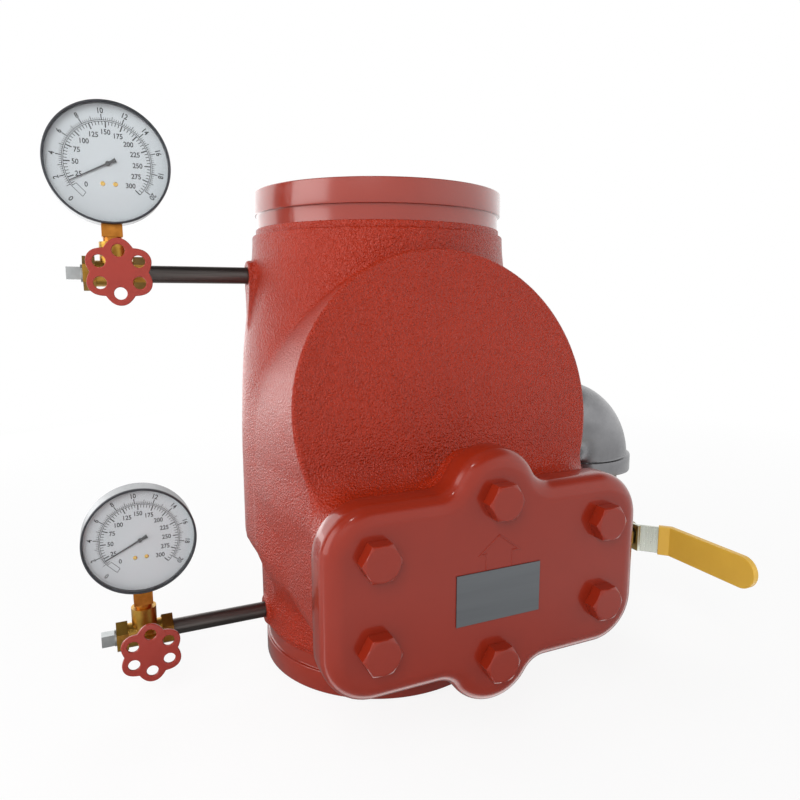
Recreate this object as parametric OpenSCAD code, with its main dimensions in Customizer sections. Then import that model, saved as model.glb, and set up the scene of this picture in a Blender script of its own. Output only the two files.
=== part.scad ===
// Swing check valve for an 8 inch wet riser, with gauge trim and a 2 inch drain line.
// Millimetres. +Z is up along the riser, the access cover faces -Y, the origin is
// on the riser axis at the lower end face.

/* [Riser ends] */
// Overall height between the two end faces
valve_height = 420.6; // [400:0.1:460]
// Outside diameter of the grooved ends
pipe_od = 219.1; // [215:0.1:222]
// Bore of the waterway at both ends
waterway_d = 200; // [190:1:204]
// Length of the land outside each groove
end_land = 19.05; // [15:0.05:24]
// Width of each coupling groove
groove_w = 11.9; // [9:0.1:14]
// Diameter at the bottom of each groove
groove_d = 214.4; // [211:0.1:215]

/* [Body casting] */
// Diameter of the clapper barrel at its widest
barrel_d = 253; // [246:1:262]
// Casting wall outside the seat ring
seat_wall = 8.5; // [6:0.5:10]
// Diameter of the barrel at its waist
waist_d = 245; // [238:1:250]
// Diameter of the shoulder under the top groove
shoulder_d = 224; // [220:1:234]
// Casting wall
wall = 9; // [7:0.5:11]
// Height where the lower barrel starts to widen
step_z = 92.5; // [89:0.5:96]
// Height over which it widens
step_rise = 26; // [22:0.5:32]

/* [Clapper chamber] */
// Diameter of the round chamber that the open clapper parks in
chamber_d = 245; // [240:1:250]
// Height of the middle of the chamber face
face_z = 248; // [244:1:252]
// Distance of the middle of the chamber face from the riser axis
face_reach = 145; // [143:1:152]
// Lean of the chamber face from upright, in degrees
face_lean = 10; // [8:0.5:11]
// Wall of the chamber face
face_wall = 8; // [6.5:0.5:9]

/* [Access cover] */
// Width of the cover
cover_w = 248; // [240:1:256]
// Height of the cover without its lobes
cover_h = 131; // [124:1:138]
// Height of the middle of the cover
cover_z = 139.5; // [136:0.5:144]
// Distance of the cover's joint face from the riser axis
cover_reach = 187; // [184:1:194]
// Thickness of the cover
cover_t = 24.5; // [24:0.5:30]
// Corner radius of the cover
cover_corner = 35; // [30:1:40]
// Radius of the lobes round the middle bolts
lobe_r = 34; // [31:1:38]
// Radius of the hollows beside the lobes
hollow_r = 17; // [13:1:22]
// Depth of the rounded front edge
edge_r = 11; // [6:0.5:14]
// Width of the rounded front edge
edge_in = 14; // [6:0.5:15]
// How far the body flange is set in from the cover's rim
flange_inset = 8; // [6:0.5:10]
// Thickness of the body flange
flange_t = 22; // [20:0.5:26]
// Thickness of the cover gasket
gasket_t = 1.5; // [1:0.1:3]
// Half the distance between the left and right bolt rows
bolt_x = 88.7; // [86:0.1:91]
// Half the distance between the side bolts of one row
bolt_rise = 30.4; // [29:0.1:33]
// Distance of the middle bolts from the bolt centre
lobe_rise = 57; // [56:0.5:60]
// Bolt diameter
bolt_d = 15.9; // [14:0.1:16]
// Bolt head across flats
bolt_af = 23.8; // [22:0.1:26]
// Bolt head height
bolt_head = 9.9; // [8:0.1:12]
// Width of the label plate
plate_w = 66; // [60:1:72]
// Height of the label plate
plate_h = 35.8; // [30:0.2:38]

/* [Seat and clapper] */
// Height of the seat face
seat_z = 102; // [100:0.5:104]
// Bore of the seat ring
seat_bore = 176; // [170:1:180]
// Width of the seat ring, from its bore to its outside
seat_width = 16; // [14:0.5:17]
// How far the clapper disc reaches past the seat bore
clapper_lap = 10; // [7:0.5:10.5]
// Thickness of the clapper disc
clapper_t = 10; // [9:0.5:11]
// Thickness of the rubber seal
seal_t = 6; // [5:0.5:6.5]
// Distance of the hinge pin from the riser axis
hinge_reach = 134; // [132:0.5:136]
// Diameter of the hinge pin
pin_d = 12; // [10:0.5:14]
// Thickness of the clapper arm
arm_t = 12; // [10:0.5:12]

/* [Gauge trim] */
// Height of the upper gauge tap
upper_z = 350; // [345:1:352]
// Height of the lower gauge tap
lower_z = 49.5; // [49:0.5:54]
// Free length of each gauge nipple
nipple_len = 80; // [74:1:90]
// Outside diameter of a gauge nipple
nipple_d = 13.7; // [12:0.1:15]
// Length of a gauge valve between its hexagons
gvalve_len = 45; // [42:0.5:50]
// Across flats of a gauge valve hexagon
gvalve_af = 23; // [21:0.5:26]
// Diameter of the gauge case
gauge_d = 89; // [84:1:94]
// Depth of the gauge case
gauge_depth = 23; // [22:0.5:28]
// Height of the upper gauge's middle above its nipple
upper_rise = 81; // [79:0.5:88]
// Height of the lower gauge's middle above its nipple
lower_rise = 85; // [79:0.5:88]
// Diameter of the handwheel over its lobes
wheel_d = 49.6; // [46:0.2:54]

/* [Drain line] */
// Length of the drain nipple in view
drain_show = 14; // [10:0.5:20]
// Distance of the drain port in front of the riser axis
drain_reach = 60; // [55:1:64]
// Height of the drain port
drain_z = 215; // [210:1:218]
// How far the drain boss stands out past the side of the chamber
drain_proud = 1.5; // [1:0.5:6]
// Outside diameter of the drain pipe
drain_od = 60.3; // [58:0.1:61]
// Bore of the drain pipe
drain_bore = 52; // [48:0.5:53]
// Elbow centre to end
elbow_reach = 57; // [55:0.5:60]
// Diameter of the elbow bands
band_d = 83; // [80:0.5:86]
// Length of the drain valve
dvalve_len = 100; // [98:1:106]
// Height of the drain valve's middle
dvalve_z = 85; // [83:0.5:90]
// Reach of the lever from its stem to its tip
lever_len = 133; // [110:1:150]
// Width of the yellow sleeve
sleeve_w = 30; // [28:0.5:34]

/* [Output] */
// Node to draw, or all

/* [Hidden] */
big_fn = 72;
mid_fn = 32;
small_fn = 20;
eps = 0.5;            // overlap of a cutting tool past the face that it opens
run_fit = 0.06;       // radial running fit of a shaft in its hole
rest_gap = 0.2;       // gap that keeps two bodies from binding at rest
head_rim = 0.95;      // flat top of a bolt head, as a share of its width across flats
head_angle = 30;      // slope of the turned corners

pipe_r = pipe_od / 2;
groove_r = groove_d / 2;
waterway_r = waterway_d / 2;
band_h = 5.3;                        // step above each groove
band_r = (groove_r + pipe_r) / 2;
barrel_r = barrel_d / 2;
seat_r = seat_bore / 2 + seat_width;
lower_r = seat_r + seat_wall;
waist_r = waist_d / 2;
shoulder_r = shoulder_d / 2;
step_top = step_z + step_rise;
belly_z = 205;                       // top of the straight part of the barrel
waist_z = 285;
shoulder_z = 372;
low_band_z = end_land + groove_w + band_h;
top_band_z = valve_height - low_band_z;
foot_r = lower_r - 0.5;

shelf_z = seat_z - 4;                // floor that the seat ring's collar stands on
pocket_r = seat_r;
pocket_depth = 14;
pocket_z = shelf_z - pocket_depth;

chamber_r = chamber_d / 2;
chamber_in_r = chamber_r - face_wall;
chamber_depth = face_reach - 15;

neck_half = cover_w / 2 - flange_inset - 2;
neck_low = cover_z - cover_h / 2 + flange_inset;
neck_high = cover_z + cover_h / 2 - flange_inset;
neck_corner = cover_corner - flange_inset;
neck_in_half = neck_half - wall;
neck_in_corner = neck_corner - wall;
neck_in_high = neck_high - wall;
flange_face = cover_reach - gasket_t;
flange_back = flange_face - flange_t;
bolt_z = cover_z + 2;
bolt_r = bolt_d / 2;
bolt_hole_r = bolt_r + 0.8;
bolt_grip = 16;                      // length of bolt screwed into the flange
tip_room = 2;                        // depth of the hole past the bolt's tip
bolt_places = [
    [-bolt_x, bolt_z + bolt_rise],
    [-bolt_x, bolt_z - bolt_rise],
    [bolt_x, bolt_z + bolt_rise],
    [bolt_x, bolt_z - bolt_rise],
    [0, bolt_z + lobe_rise],
    [0, bolt_z - lobe_rise]
];
opening_half = bolt_x - bolt_hole_r - 6;
opening_rise = lobe_rise - bolt_hole_r - 4.8;
slot_half = neck_in_half - 1;
slot_rise = bolt_rise - bolt_hole_r - 4.7;
opening_corner = 16;
cover_front = cover_reach + cover_t;
recess_depth = 11;                   // hollow in the back of the cover
rim_lap = 3;                         // how far the cover's rim reaches into its core
corner_steps = 8;
hollow_steps = 5;
lobe_steps = 14;
edge_steps = 5;
plate_t = 0.8;
plate_z = cover_z - 6.8;

seat_lip = 6;
seal_z = seat_z + rest_gap;
disc_z = seal_z + seal_t;
disc_top = disc_z + clapper_t;
clapper_r = seat_bore / 2 + clapper_lap;
seal_r = clapper_r - 1;
seal_hold_r = seat_bore / 2 - 4;     // rim of the plate that holds the seal
seal_bore_r = seal_hold_r - 6;
seal_lip_t = seal_t / 2;
rim_w = 12;                          // flat land round the top of the disc
rim_drop = 3;
web_drop = 5;
disc_hub_r = 30;
disc_rib_w = 6;
screw_ring = seal_bore_r - 14;
screw_r = 2.5;
screw_in = 3;                        // length of screw in the disc
screw_head_r = 5;
screw_head = 3.5;
retainer_bore_r = 14;
retainer_proud = 1;                  // how far the plate stands out of the seal
arm_z = disc_top;
hinge_z = arm_z + arm_t / 2;
pin_r = pin_d / 2;
ear_in = 23;
ear_out = 37;
ear_len = 30;                        // straight part of each ear
bridge_w = 14;                       // web between the ears
arm_crotch = 6;
arm_crotch_y = 16;
arm_root_y = 4;
arm_lap = 1;
ear_flare = 4;
bridge_lap = 2;
bridge_drop = 3;
ear_r = pin_r + 6;
lug_in = ear_out + 3;
lug_out = lug_in + 14;
lug_r = pin_r + 8;
clip_t = 1.5;
clip_r = pin_r + 4;
pin_half = lug_out + clip_t + 2.5;
arm_boss_r = 26;
stud_r = 8;
washer_t = 2;
washer_r = 17;
nut_t = 9;
nut_af = 24;
stud_top = arm_z + arm_t + washer_t + nut_t + 1;

upper_rib = 42;
rib_end_w = 2;                       // half its width at the foot
upper_face = shoulder_r + 8;
lower_face = lower_r + 1.5;
upper_tap = [upper_face, upper_z, upper_rise];
lower_tap = [lower_face, lower_z, lower_rise];
nipple_r = nipple_d / 2;
nipple_bore_r = 4.6;
tap_grip = 10;                       // thread engaged at each end of a nipple
tap_boss_r = nipple_r + 5.5;
gvalve_near = nipple_len;
gvalve_far = nipple_len + gvalve_len;
gvalve_mid = (gvalve_near + gvalve_far) / 2;
gvalve_r = 10;
gvalve_hex = 9;
gbore_r = 3;
gport_r = 10;
gport_top = 24;
gport_grip = 10;
gport_floor = gport_top - gport_grip;
stem_shift = 2.5;                    // the stem sits off the middle, toward the riser
stem_x = gvalve_mid - stem_shift;
chamber_bore_r = 6;
disc_r = 5.4;
disc_t = 4;
disc_back = 6;
seat_travel = 3;
bore_end = disc_back - disc_t - seat_travel - 0.3;
boss_front = 16;
bonnet_hex = 6;
bonnet_af = 16;
bonnet_grip = 5;                     // length of bonnet screwed into the boss
bonnet_front = boss_front + bonnet_hex;
packing_len = 5;
packing_nut_af = 13;
packing_front = bonnet_front + packing_len;
gstem_r = 3.5;
wheel_t = 2.8;
wheel_front = 38.5;
wheel_back = wheel_front - wheel_t;
wheel_r = wheel_d / 2;
wheel_hole_r = 4.4;
wheel_lobe_r = 9.2;
wheel_hole_ring = wheel_r - wheel_lobe_r;
wheel_web_r = wheel_r * 0.81;
plug_neck = 1.5;                     // thread left in view
plug_head = 10;
plug_side = 9.5;
socket_side = 15;
socket_low = 27.6;
socket_neck_r = 6.8;
socket_bore_r = 2;
socket_in = 6;                       // how far the block reaches into the case
gauge_r = gauge_d / 2;
gauge_front = 14;
gauge_back = gauge_depth - gauge_front;
case_wall = 1.5;
ring_w = 2.8;
ring_t = 3;
lens_t = 1.6;
lens_back = gauge_front - ring_t + 0.4;
dial_t = 0.8;
dial_gap = 0.1;                      // between the block and the back of the dial
dial_y = socket_side / 2 + dial_gap + dial_t;
pointer_t = 0.8;
pointer_lift = 0.4;                  // between the dial and the pointer
pointer_y = dial_y + pointer_lift + pointer_t;
pointer_len = gauge_r * 0.687;       // to the inner scale's circle
pointer_tail = gauge_r * 0.142;
pointer_w = 0.75;                    // half its width at the hub
pointer_tip_w = 0.25;                // half its width at the tip
pointer_tail_w = 1.65;               // half its width at the end of the tail
pointer_hub_r = 1.8;
spindle_r = 1.2;
spindle_len = 2.8;                   // behind the dial's face
scale_sweep = 270;                   // from 0 to full scale
full_scale = 300;
reading = 20;                        // what the gauges show
pointer_turn = scale_sweep / 2 - scale_sweep * reading / full_scale;

drain_face = max(barrel_r, chamber_r) + drain_proud;
drain_x = drain_face + drain_show + elbow_reach;
drain_r = drain_od / 2;
drain_bore_r = drain_bore / 2;
drain_boss_r = drain_r + 12;
drain_grip = 12;
drain_root = 60;                     // where the drain boss starts in the casting
drain_drill = 80;                    // where its bore breaks into the chamber
fitting_grip = 14;
elbow_r = 38.3;
elbow_bend = elbow_r + 0.4;
band_len = 12;
elbow_in = drain_x - elbow_reach;
elbow_out = drain_z - elbow_reach;
dvalve_top = dvalve_z + dvalve_len / 2;
dvalve_af = 70;
dvalve_hex = 20;
dvalve_r = 43;
dvalve_belly = 21;                   // half the height of the round middle
dvalve_skirt = 6;                    // how far it runs on below the middle
dvalve_lap = 1;
dvalve_shoulder = 3;                 // step between the round middle and the cone
dvalve_neck = 2;                     // step between the cone and the hexagon
ball_r = 33;
ball_gap = 0.3;
ball_bore_r = 25;
ball_seat_low = 19;
ball_seat_high = 26;
end_thread_r = 34;
dstem_r = 7;
dstem_x = drain_x + ball_r - 5;
dboss_r = 14;
dboss_root = 30;                     // where the stem boss starts in the body
dboss_x = drain_x + 52;
packing_t = 6;
packing_af = 22;
lever_x = dboss_x + packing_t + 2;
lever_t = 3.2;
lever_w = 27.5;
lever_nut_t = 6;
lever_nut_af = 22;
offset_start = 12;
offset_run = 23.5;
offset_rise = 23;
sleeve_start = 0.66;                 // share of the offset that the sleeve leaves bare
sleeve_wall = 1.4;
sleeve_end_gap = 1;

body_paint = "#A9332A";
cover_paint = "#953A30";
iron = "#9A9998";
dark_steel = "#3F3B3C";
steel = "#A8AAAC";
brass = "#A9823C";
copper = "#B8762F";
rubber = "#232323";
grey_plate = "#686B69";
dial_grey = "#BFC6CA";
glass = "#DDE6EA";
yellow = "#C9A03C";
ptfe = "#E9E7E0";

// Places a flat drawing of X and Z at a distance in front of the axis and
// gives it a depth toward the front.
module in_front(distance, depth) {
    translate([0, -distance, 0])
        rotate([90, 0, 0])
            linear_extrude(height = depth)
                children();
}

// A rod along -X, from one distance to another, at a height.
module rod_left(from, to, radius, fn = mid_fn) {
    translate([-from, 0, 0])
        rotate([0, -90, 0])
            cylinder(h = to - from, r = radius, $fn = fn);
}

// A rod along +X.
module rod_right(from, to, radius, fn = mid_fn) {
    translate([from, 0, 0])
        rotate([0, 90, 0])
            cylinder(h = to - from, r = radius, $fn = fn);
}

// A rod along -Y.
module rod_front(from, to, radius, fn = mid_fn) {
    translate([0, -from, 0])
        rotate([90, 0, 0])
            cylinder(h = to - from, r = radius, $fn = fn);
}

// A hexagon across flats, lying in its own plane, with corners left and right.
module hexagon(flats) {
    circle(r = flats / sqrt(3), $fn = 6);
}

// A hexagonal head or nut along +Z with the corners of its free end turned off.
module hex_head(flats, height) {
    corner = flats / sqrt(3);
    rim = flats / 2 * head_rim;
    intersection() {
        linear_extrude(height = height)
            hexagon(flats);
        rotate_extrude($fn = mid_fn)
            polygon([
                [0, 0],
                [corner + eps, 0],
                [corner + eps, height - (corner + eps - rim) * tan(head_angle)],
                [rim, height],
                [0, height]
            ]);
    }
}

// A rectangle with round corners, given by its half sizes.
module round_box(half_w, low, high, corner) {
    translate([-half_w, low + corner])
        square([2 * half_w, high - low - 2 * corner]);
    translate([-half_w + corner, low])
        square([2 * (half_w - corner), high - low]);
    for (x = [-half_w + corner, half_w - corner]) {
        for (z = [low + corner, high - corner]) {
            translate([x, z])
                circle(r = corner, $fn = mid_fn);
        }
    }
}

// Height of the hollows beside a lobe, height of the lobe, and half the distance
// between the hollows. A side is 1 at the top and -1 at the bottom.
function hollow_z(side) = cover_z + side * (cover_h / 2 + hollow_r);
function lobe_z(side) = bolt_z + side * lobe_rise;
function hollow_x(side) = sqrt(
    pow(lobe_r + hollow_r, 2) - pow(hollow_z(side) - lobe_z(side), 2)
);
function lobe_lean(side) = atan2(abs(hollow_z(side) - lobe_z(side)), hollow_x(side));

// Points along an arc, with as many left out at both ends as asked.
function arc(x, z, radius, from, sweep, steps, skip = 0) = [
    for (i = [skip:steps - skip])
        [x + radius * cos(from + sweep * i / steps), z + radius * sin(from + sweep * i / steps)]
];

// One side of the cover's rim, from its right corner over the lobe to its left one.
function rim_points(side, inset) =
    let (
        x = cover_w / 2 - cover_corner,
        z = cover_z + side * (cover_h / 2 - cover_corner),
        lean = lobe_lean(side),
        start = side > 0 ? 0 : 180,
        dent = 90 - lean,
        hx = side * hollow_x(side),
        hz = hollow_z(side)
    )
    concat(
        arc(side * x, z, cover_corner - inset, start, 90, corner_steps),
        arc(hx, hz, hollow_r + inset, start - 90, -dent, hollow_steps),
        arc(0, lobe_z(side), lobe_r - inset, start + lean, 180 - 2 * lean, lobe_steps, 1),
        arc(-hx, hz, hollow_r + inset, start - lean, -dent, hollow_steps),
        arc(-side * x, z, cover_corner - inset, start + 90, 90, corner_steps)
    );

// The outline of the cover, drawn smaller by an inset all round.
function cover_points(inset) = concat(rim_points(1, inset), rim_points(-1, inset));

module cover_outline(inset) {
    polygon(cover_points(inset));
}

// The way in through the body flange: a hatch with a slot for the clapper's width.
module hatch_outline() {
    round_box(opening_half, bolt_z - opening_rise, bolt_z + opening_rise, opening_corner);
    round_box(slot_half, bolt_z - slot_rise, bolt_z + slot_rise, opening_corner - 4);
}

// Moves to the chamber face, with the face's outward direction as +Z.
module at_chamber_face() {
    translate([0, -face_reach, face_z])
        rotate([90 - face_lean, 0, 0])
            children();
}

function barrel_outline() = [
    [0, 0],
    [pipe_r, 0],
    [pipe_r, end_land],
    [groove_r, end_land],
    [groove_r, end_land + groove_w],
    [band_r, end_land + groove_w],
    [band_r, low_band_z],
    [foot_r, low_band_z],
    [lower_r, step_z],
    [barrel_r, step_top],
    [barrel_r, belly_z],
    [waist_r, waist_z],
    [shoulder_r, shoulder_z],
    [shoulder_r - 0.4, top_band_z],
    [band_r, top_band_z],
    [band_r, valve_height - end_land - groove_w],
    [groove_r, valve_height - end_land - groove_w],
    [groove_r, valve_height - end_land],
    [pipe_r, valve_height - end_land],
    [pipe_r, valve_height],
    [0, valve_height]
];

function bore_outline() = [
    [0, -eps],
    [waterway_r, -eps],
    [waterway_r, pocket_z],
    [pocket_r, pocket_z],
    [pocket_r, shelf_z],
    [pocket_r + 2, shelf_z],
    [barrel_r - wall, step_top],
    [barrel_r - wall, belly_z],
    [waist_r - wall, waist_z],
    [waterway_r, top_band_z - wall],
    [waterway_r, valve_height + eps],
    [0, valve_height + eps]
];

// A gauge tap boss with the rib, if it has one, that runs down the barrel wall.
module tap_boss(face, rib) {
    rotate([0, -90, 0])
        linear_extrude(height = face) {
            circle(r = tap_boss_r, $fn = mid_fn);
            if (rib > 0)
                polygon([
                    [0, tap_boss_r],
                    [0, -tap_boss_r],
                    [-rib, -rib_end_w],
                    [-rib, rib_end_w]
                ]);
        }
}

module hinge_lugs() {
    for (side = [-1, 1]) {
        difference() {
            union() {
                translate([side < 0 ? -lug_out : lug_in, -hinge_reach, hinge_z])
                    rod_right(0, lug_out - lug_in, lug_r);
                translate([side < 0 ? -lug_out : lug_in, -hinge_reach - lug_r, shelf_z - 2])
                    cube([lug_out - lug_in, 2 * lug_r, hinge_z - shelf_z + 2]);
            }
            translate([side < 0 ? -lug_out : lug_in, -hinge_reach, hinge_z])
                rod_right(-eps, lug_out - lug_in + eps, pin_r);
        }
    }
}

module body() {
    color(body_paint) {
        difference() {
            union() {
                rotate_extrude($fn = big_fn)
                    polygon(barrel_outline());
                at_chamber_face()
                    translate([0, 0, -chamber_depth])
                        cylinder(h = chamber_depth, r = chamber_r, $fn = big_fn);
                in_front(0, flange_back + 1)
                    round_box(neck_half, neck_low, neck_high, neck_corner);
                in_front(flange_back, flange_t)
                    cover_outline(flange_inset);
                translate([0, 0, upper_z])
                    tap_boss(upper_face, upper_rib);
                translate([0, 0, lower_z])
                    tap_boss(lower_face, 0);
                translate([0, -drain_reach, drain_z])
                    rod_right(drain_root, drain_face, drain_boss_r);
            }
            rotate_extrude($fn = big_fn)
                polygon(bore_outline());
            at_chamber_face()
                translate([0, 0, -chamber_depth])
                    cylinder(h = chamber_depth - face_wall, r = chamber_in_r, $fn = big_fn);
            in_front(drain_reach, flange_back - drain_reach)
                round_box(neck_in_half, shelf_z, neck_in_high, neck_in_corner);
            in_front(flange_back - eps, flange_t + 2 * eps)
                hatch_outline();
            for (place = bolt_places) {
                translate([place[0], 0, place[1]])
                    rod_front(flange_face - bolt_grip - tip_room, flange_face + eps, bolt_r, small_fn);
            }
            for (tap = [upper_tap, lower_tap]) {
                translate([0, 0, tap[1]]) {
                    rod_left(tap[0] - tap_grip, tap[0] + eps, nipple_r);
                    rod_left(waterway_r - wall / 2, tap[0], nipple_bore_r, small_fn);
                }
            }
            translate([0, -drain_reach, drain_z]) {
                rod_right(drain_face - drain_grip, drain_face + eps, drain_r);
                rod_right(drain_drill, drain_face, drain_bore_r);
            }
        }
        hinge_lugs();
    }
}

module seat_ring() {
    color(brass)
        rotate_extrude($fn = big_fn)
            polygon([
                [seat_bore / 2, pocket_z],
                [pocket_r, pocket_z],
                [pocket_r, shelf_z + 2],
                [seat_bore / 2 + seat_lip + 3, shelf_z + 2],
                [seat_bore / 2 + seat_lip, seat_z],
                [seat_bore / 2, seat_z]
            ]);
}

module clapper_disc() {
    color(iron) {
        difference() {
            rotate_extrude($fn = big_fn)
                polygon([
                    [0, disc_z],
                    [clapper_r, disc_z],
                    [clapper_r, disc_top - rim_drop],
                    [clapper_r - rim_w, disc_top - rim_drop],
                    [clapper_r - rim_w - 4, disc_top - web_drop],
                    [disc_hub_r + 6, disc_top - web_drop],
                    [disc_hub_r, disc_top],
                    [0, disc_top]
                ]);
            for (n = [0:5]) {
                rotate([0, 0, 60 * n])
                    translate([screw_ring, 0, disc_z - eps])
                        cylinder(h = screw_in + eps, r = screw_r, $fn = small_fn);
            }
        }
        for (n = [0:5]) {
            rotate([0, 0, 30 + 60 * n])
                translate([disc_hub_r - 2, -disc_rib_w / 2, disc_z + 1])
                    cube([clapper_r - rim_w + 4 - disc_hub_r, disc_rib_w, clapper_t - 3]);
        }
        translate([0, 0, disc_z + 1])
            cylinder(h = stud_top - disc_z - 1, r = stud_r, $fn = mid_fn);
    }
}

module clapper_seal() {
    color(rubber)
        rotate_extrude($fn = big_fn)
            polygon([
                [seal_hold_r, seal_z],
                [seal_r, seal_z],
                [seal_r, disc_z],
                [seal_bore_r, disc_z],
                [seal_bore_r, disc_z - seal_lip_t],
                [seal_hold_r, disc_z - seal_lip_t]
            ]);
}

module seal_retainer() {
    color(steel)
        difference() {
            rotate_extrude($fn = big_fn)
                polygon([
                    [retainer_bore_r, seal_z - retainer_proud],
                    [seal_hold_r - 1, seal_z - retainer_proud],
                    [seal_hold_r, seal_z],
                    [seal_hold_r, disc_z - seal_lip_t],
                    [seal_bore_r, disc_z - seal_lip_t],
                    [seal_bore_r, disc_z],
                    [retainer_bore_r, disc_z]
                ]);
            for (n = [0:5]) {
                rotate([0, 0, 60 * n])
                    translate([screw_ring, 0, seal_z - retainer_proud - eps])
                        cylinder(h = seal_t + retainer_proud + 2 * eps, r = screw_r, $fn = small_fn);
            }
        }
}

module retainer_screws() {
    color(steel)
        for (n = [0:5]) {
            rotate([0, 0, 60 * n])
                translate([screw_ring, 0, seal_z - retainer_proud]) {
                    translate([0, 0, -screw_head])
                        cylinder(h = screw_head, r = screw_head_r, $fn = 6);
                    translate([0, 0, -eps])
                        cylinder(
                            h = retainer_proud + seal_t + screw_in + eps,
                            r = screw_r,
                            $fn = small_fn
                        );
                }
        }
}

module clapper_arm() {
    color(iron)
        difference() {
            union() {
                translate([0, 0, arm_z])
                    cylinder(h = arm_t, r = arm_boss_r, $fn = mid_fn);
                for (side = [-1, 1]) {
                    translate([side < 0 ? -ear_out : ear_in, -hinge_reach, hinge_z])
                        rod_right(0, ear_out - ear_in, ear_r);
                    translate([0, 0, arm_z])
                        linear_extrude(height = arm_t)
                            polygon([
                                [side * ear_in, -hinge_reach],
                                [side * ear_out, -hinge_reach],
                                [side * ear_out, -hinge_reach + ear_len],
                                [side * (arm_boss_r - arm_lap), -arm_root_y],
                                [side * arm_crotch, -arm_crotch_y],
                                [side * ear_in, -hinge_reach + ear_len + ear_flare]
                            ]);
                }
                translate([-ear_in - bridge_lap, -hinge_reach + ear_len, arm_z])
                    cube([2 * (ear_in + bridge_lap), bridge_w, arm_t - bridge_drop]);
            }
            translate([-ear_out - 1, -hinge_reach, hinge_z])
                rod_right(0, 2 * ear_out + 2, pin_r + run_fit);
            translate([0, 0, arm_z - eps])
                cylinder(h = arm_t + 2 * eps, r = stud_r, $fn = mid_fn);
        }
}

module clapper_nut() {
    color(steel)
        difference() {
            union() {
                translate([0, 0, arm_z + arm_t])
                    cylinder(h = washer_t, r = washer_r, $fn = mid_fn);
                translate([0, 0, arm_z + arm_t + washer_t])
                    hex_head(nut_af, nut_t);
            }
            translate([0, 0, arm_z + arm_t - eps])
                cylinder(h = washer_t + nut_t + 2 * eps, r = stud_r, $fn = mid_fn);
        }
}

module hinge_pin() {
    color(steel)
        translate([0, -hinge_reach, hinge_z])
            rod_right(-pin_half, pin_half, pin_r);
}

module hinge_clips() {
    color(steel)
        for (side = [-1, 1]) {
            translate([side < 0 ? -lug_out - clip_t : lug_out, -hinge_reach, hinge_z])
                difference() {
                    rod_right(0, clip_t, clip_r);
                    rod_right(-eps, clip_t + eps, pin_r);
                }
        }
}

// The cover's rim, lofted through its outline: a straight wall, then a rounded front
// edge. Its inner side lies inside the core, and both meet in one line at the front.
module cover_rim() {
    section = concat(
        [[0, cover_reach]],
        [
            for (i = [0:edge_steps])
                [
                    edge_in * (1 - cos(90 * i / edge_steps)),
                    cover_front - edge_r * (1 - sin(90 * i / edge_steps))
                ]
        ],
        [
            [edge_in + rim_lap, cover_front - rim_lap],
            [edge_in + rim_lap, cover_reach + rim_lap],
            [edge_in, cover_reach]
        ]
    );
    count = len(cover_points(0));
    rings = len(section);
    polyhedron(
        points = [
            for (place = section)
                for (p = cover_points(place[0]))
                    [p[0], -place[1], p[1]]
        ],
        faces = [
            for (j = [0:rings - 1])
                for (i = [0:count - 1])
                    let (
                        n = (i + 1) % count,
                        k = (j + 1) % rings
                    )
                    [j * count + i, k * count + i, k * count + n, j * count + n]
        ],
        convexity = 6
    );
}

module access_cover() {
    color(cover_paint) {
        cover_rim();
        difference() {
            in_front(cover_reach, cover_t)
                cover_outline(edge_in);
            in_front(cover_reach - eps, recess_depth + eps)
                round_box(
                    opening_half - 4,
                    bolt_z - opening_rise + 4,
                    bolt_z + opening_rise - 4,
                    opening_corner
                );
            for (place = bolt_places) {
                translate([place[0], 0, place[1]])
                    rod_front(cover_reach - eps, cover_front + eps, bolt_hole_r, small_fn);
            }
        }
    }
}

module cover_gasket() {
    color(rubber)
        difference() {
            in_front(flange_face, gasket_t)
                cover_outline(flange_inset);
            in_front(flange_face - eps, gasket_t + 2 * eps)
                hatch_outline();
            for (place = bolt_places) {
                translate([place[0], 0, place[1]])
                    rod_front(flange_face - eps, cover_reach + eps, bolt_hole_r, small_fn);
            }
        }
}

module cover_bolts() {
    color(cover_paint)
        for (place = bolt_places) {
            translate([place[0], 0, place[1]]) {
                translate([0, -cover_front, 0])
                    rotate([90, 0, 0])
                        hex_head(bolt_af, bolt_head);
                rod_front(flange_face - bolt_grip, cover_front + 1, bolt_r, small_fn);
            }
        }
}

module label_plate() {
    color(grey_plate)
        translate([-plate_w / 2, -cover_front - plate_t, plate_z - plate_h / 2])
            cube([plate_w, plate_t, plate_h]);
}

// Moves to a gauge tap: the origin is on the nipple axis at the boss face.
module at_tap(tap) {
    translate([-tap[0], 0, tap[1]])
        children();
}

// Moves to the middle of a gauge, on its nipple's upright plane.
module at_gauge(tap) {
    at_tap(tap)
        translate([-gvalve_mid, 0, tap[2]])
            children();
}

module gauge_nipple(tap) {
    color(dark_steel)
        at_tap(tap)
            difference() {
                rod_left(-tap_grip, gvalve_near + tap_grip, nipple_r);
                rod_left(-tap_grip - eps, gvalve_near + tap_grip + eps, nipple_bore_r, small_fn);
            }
}

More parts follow.
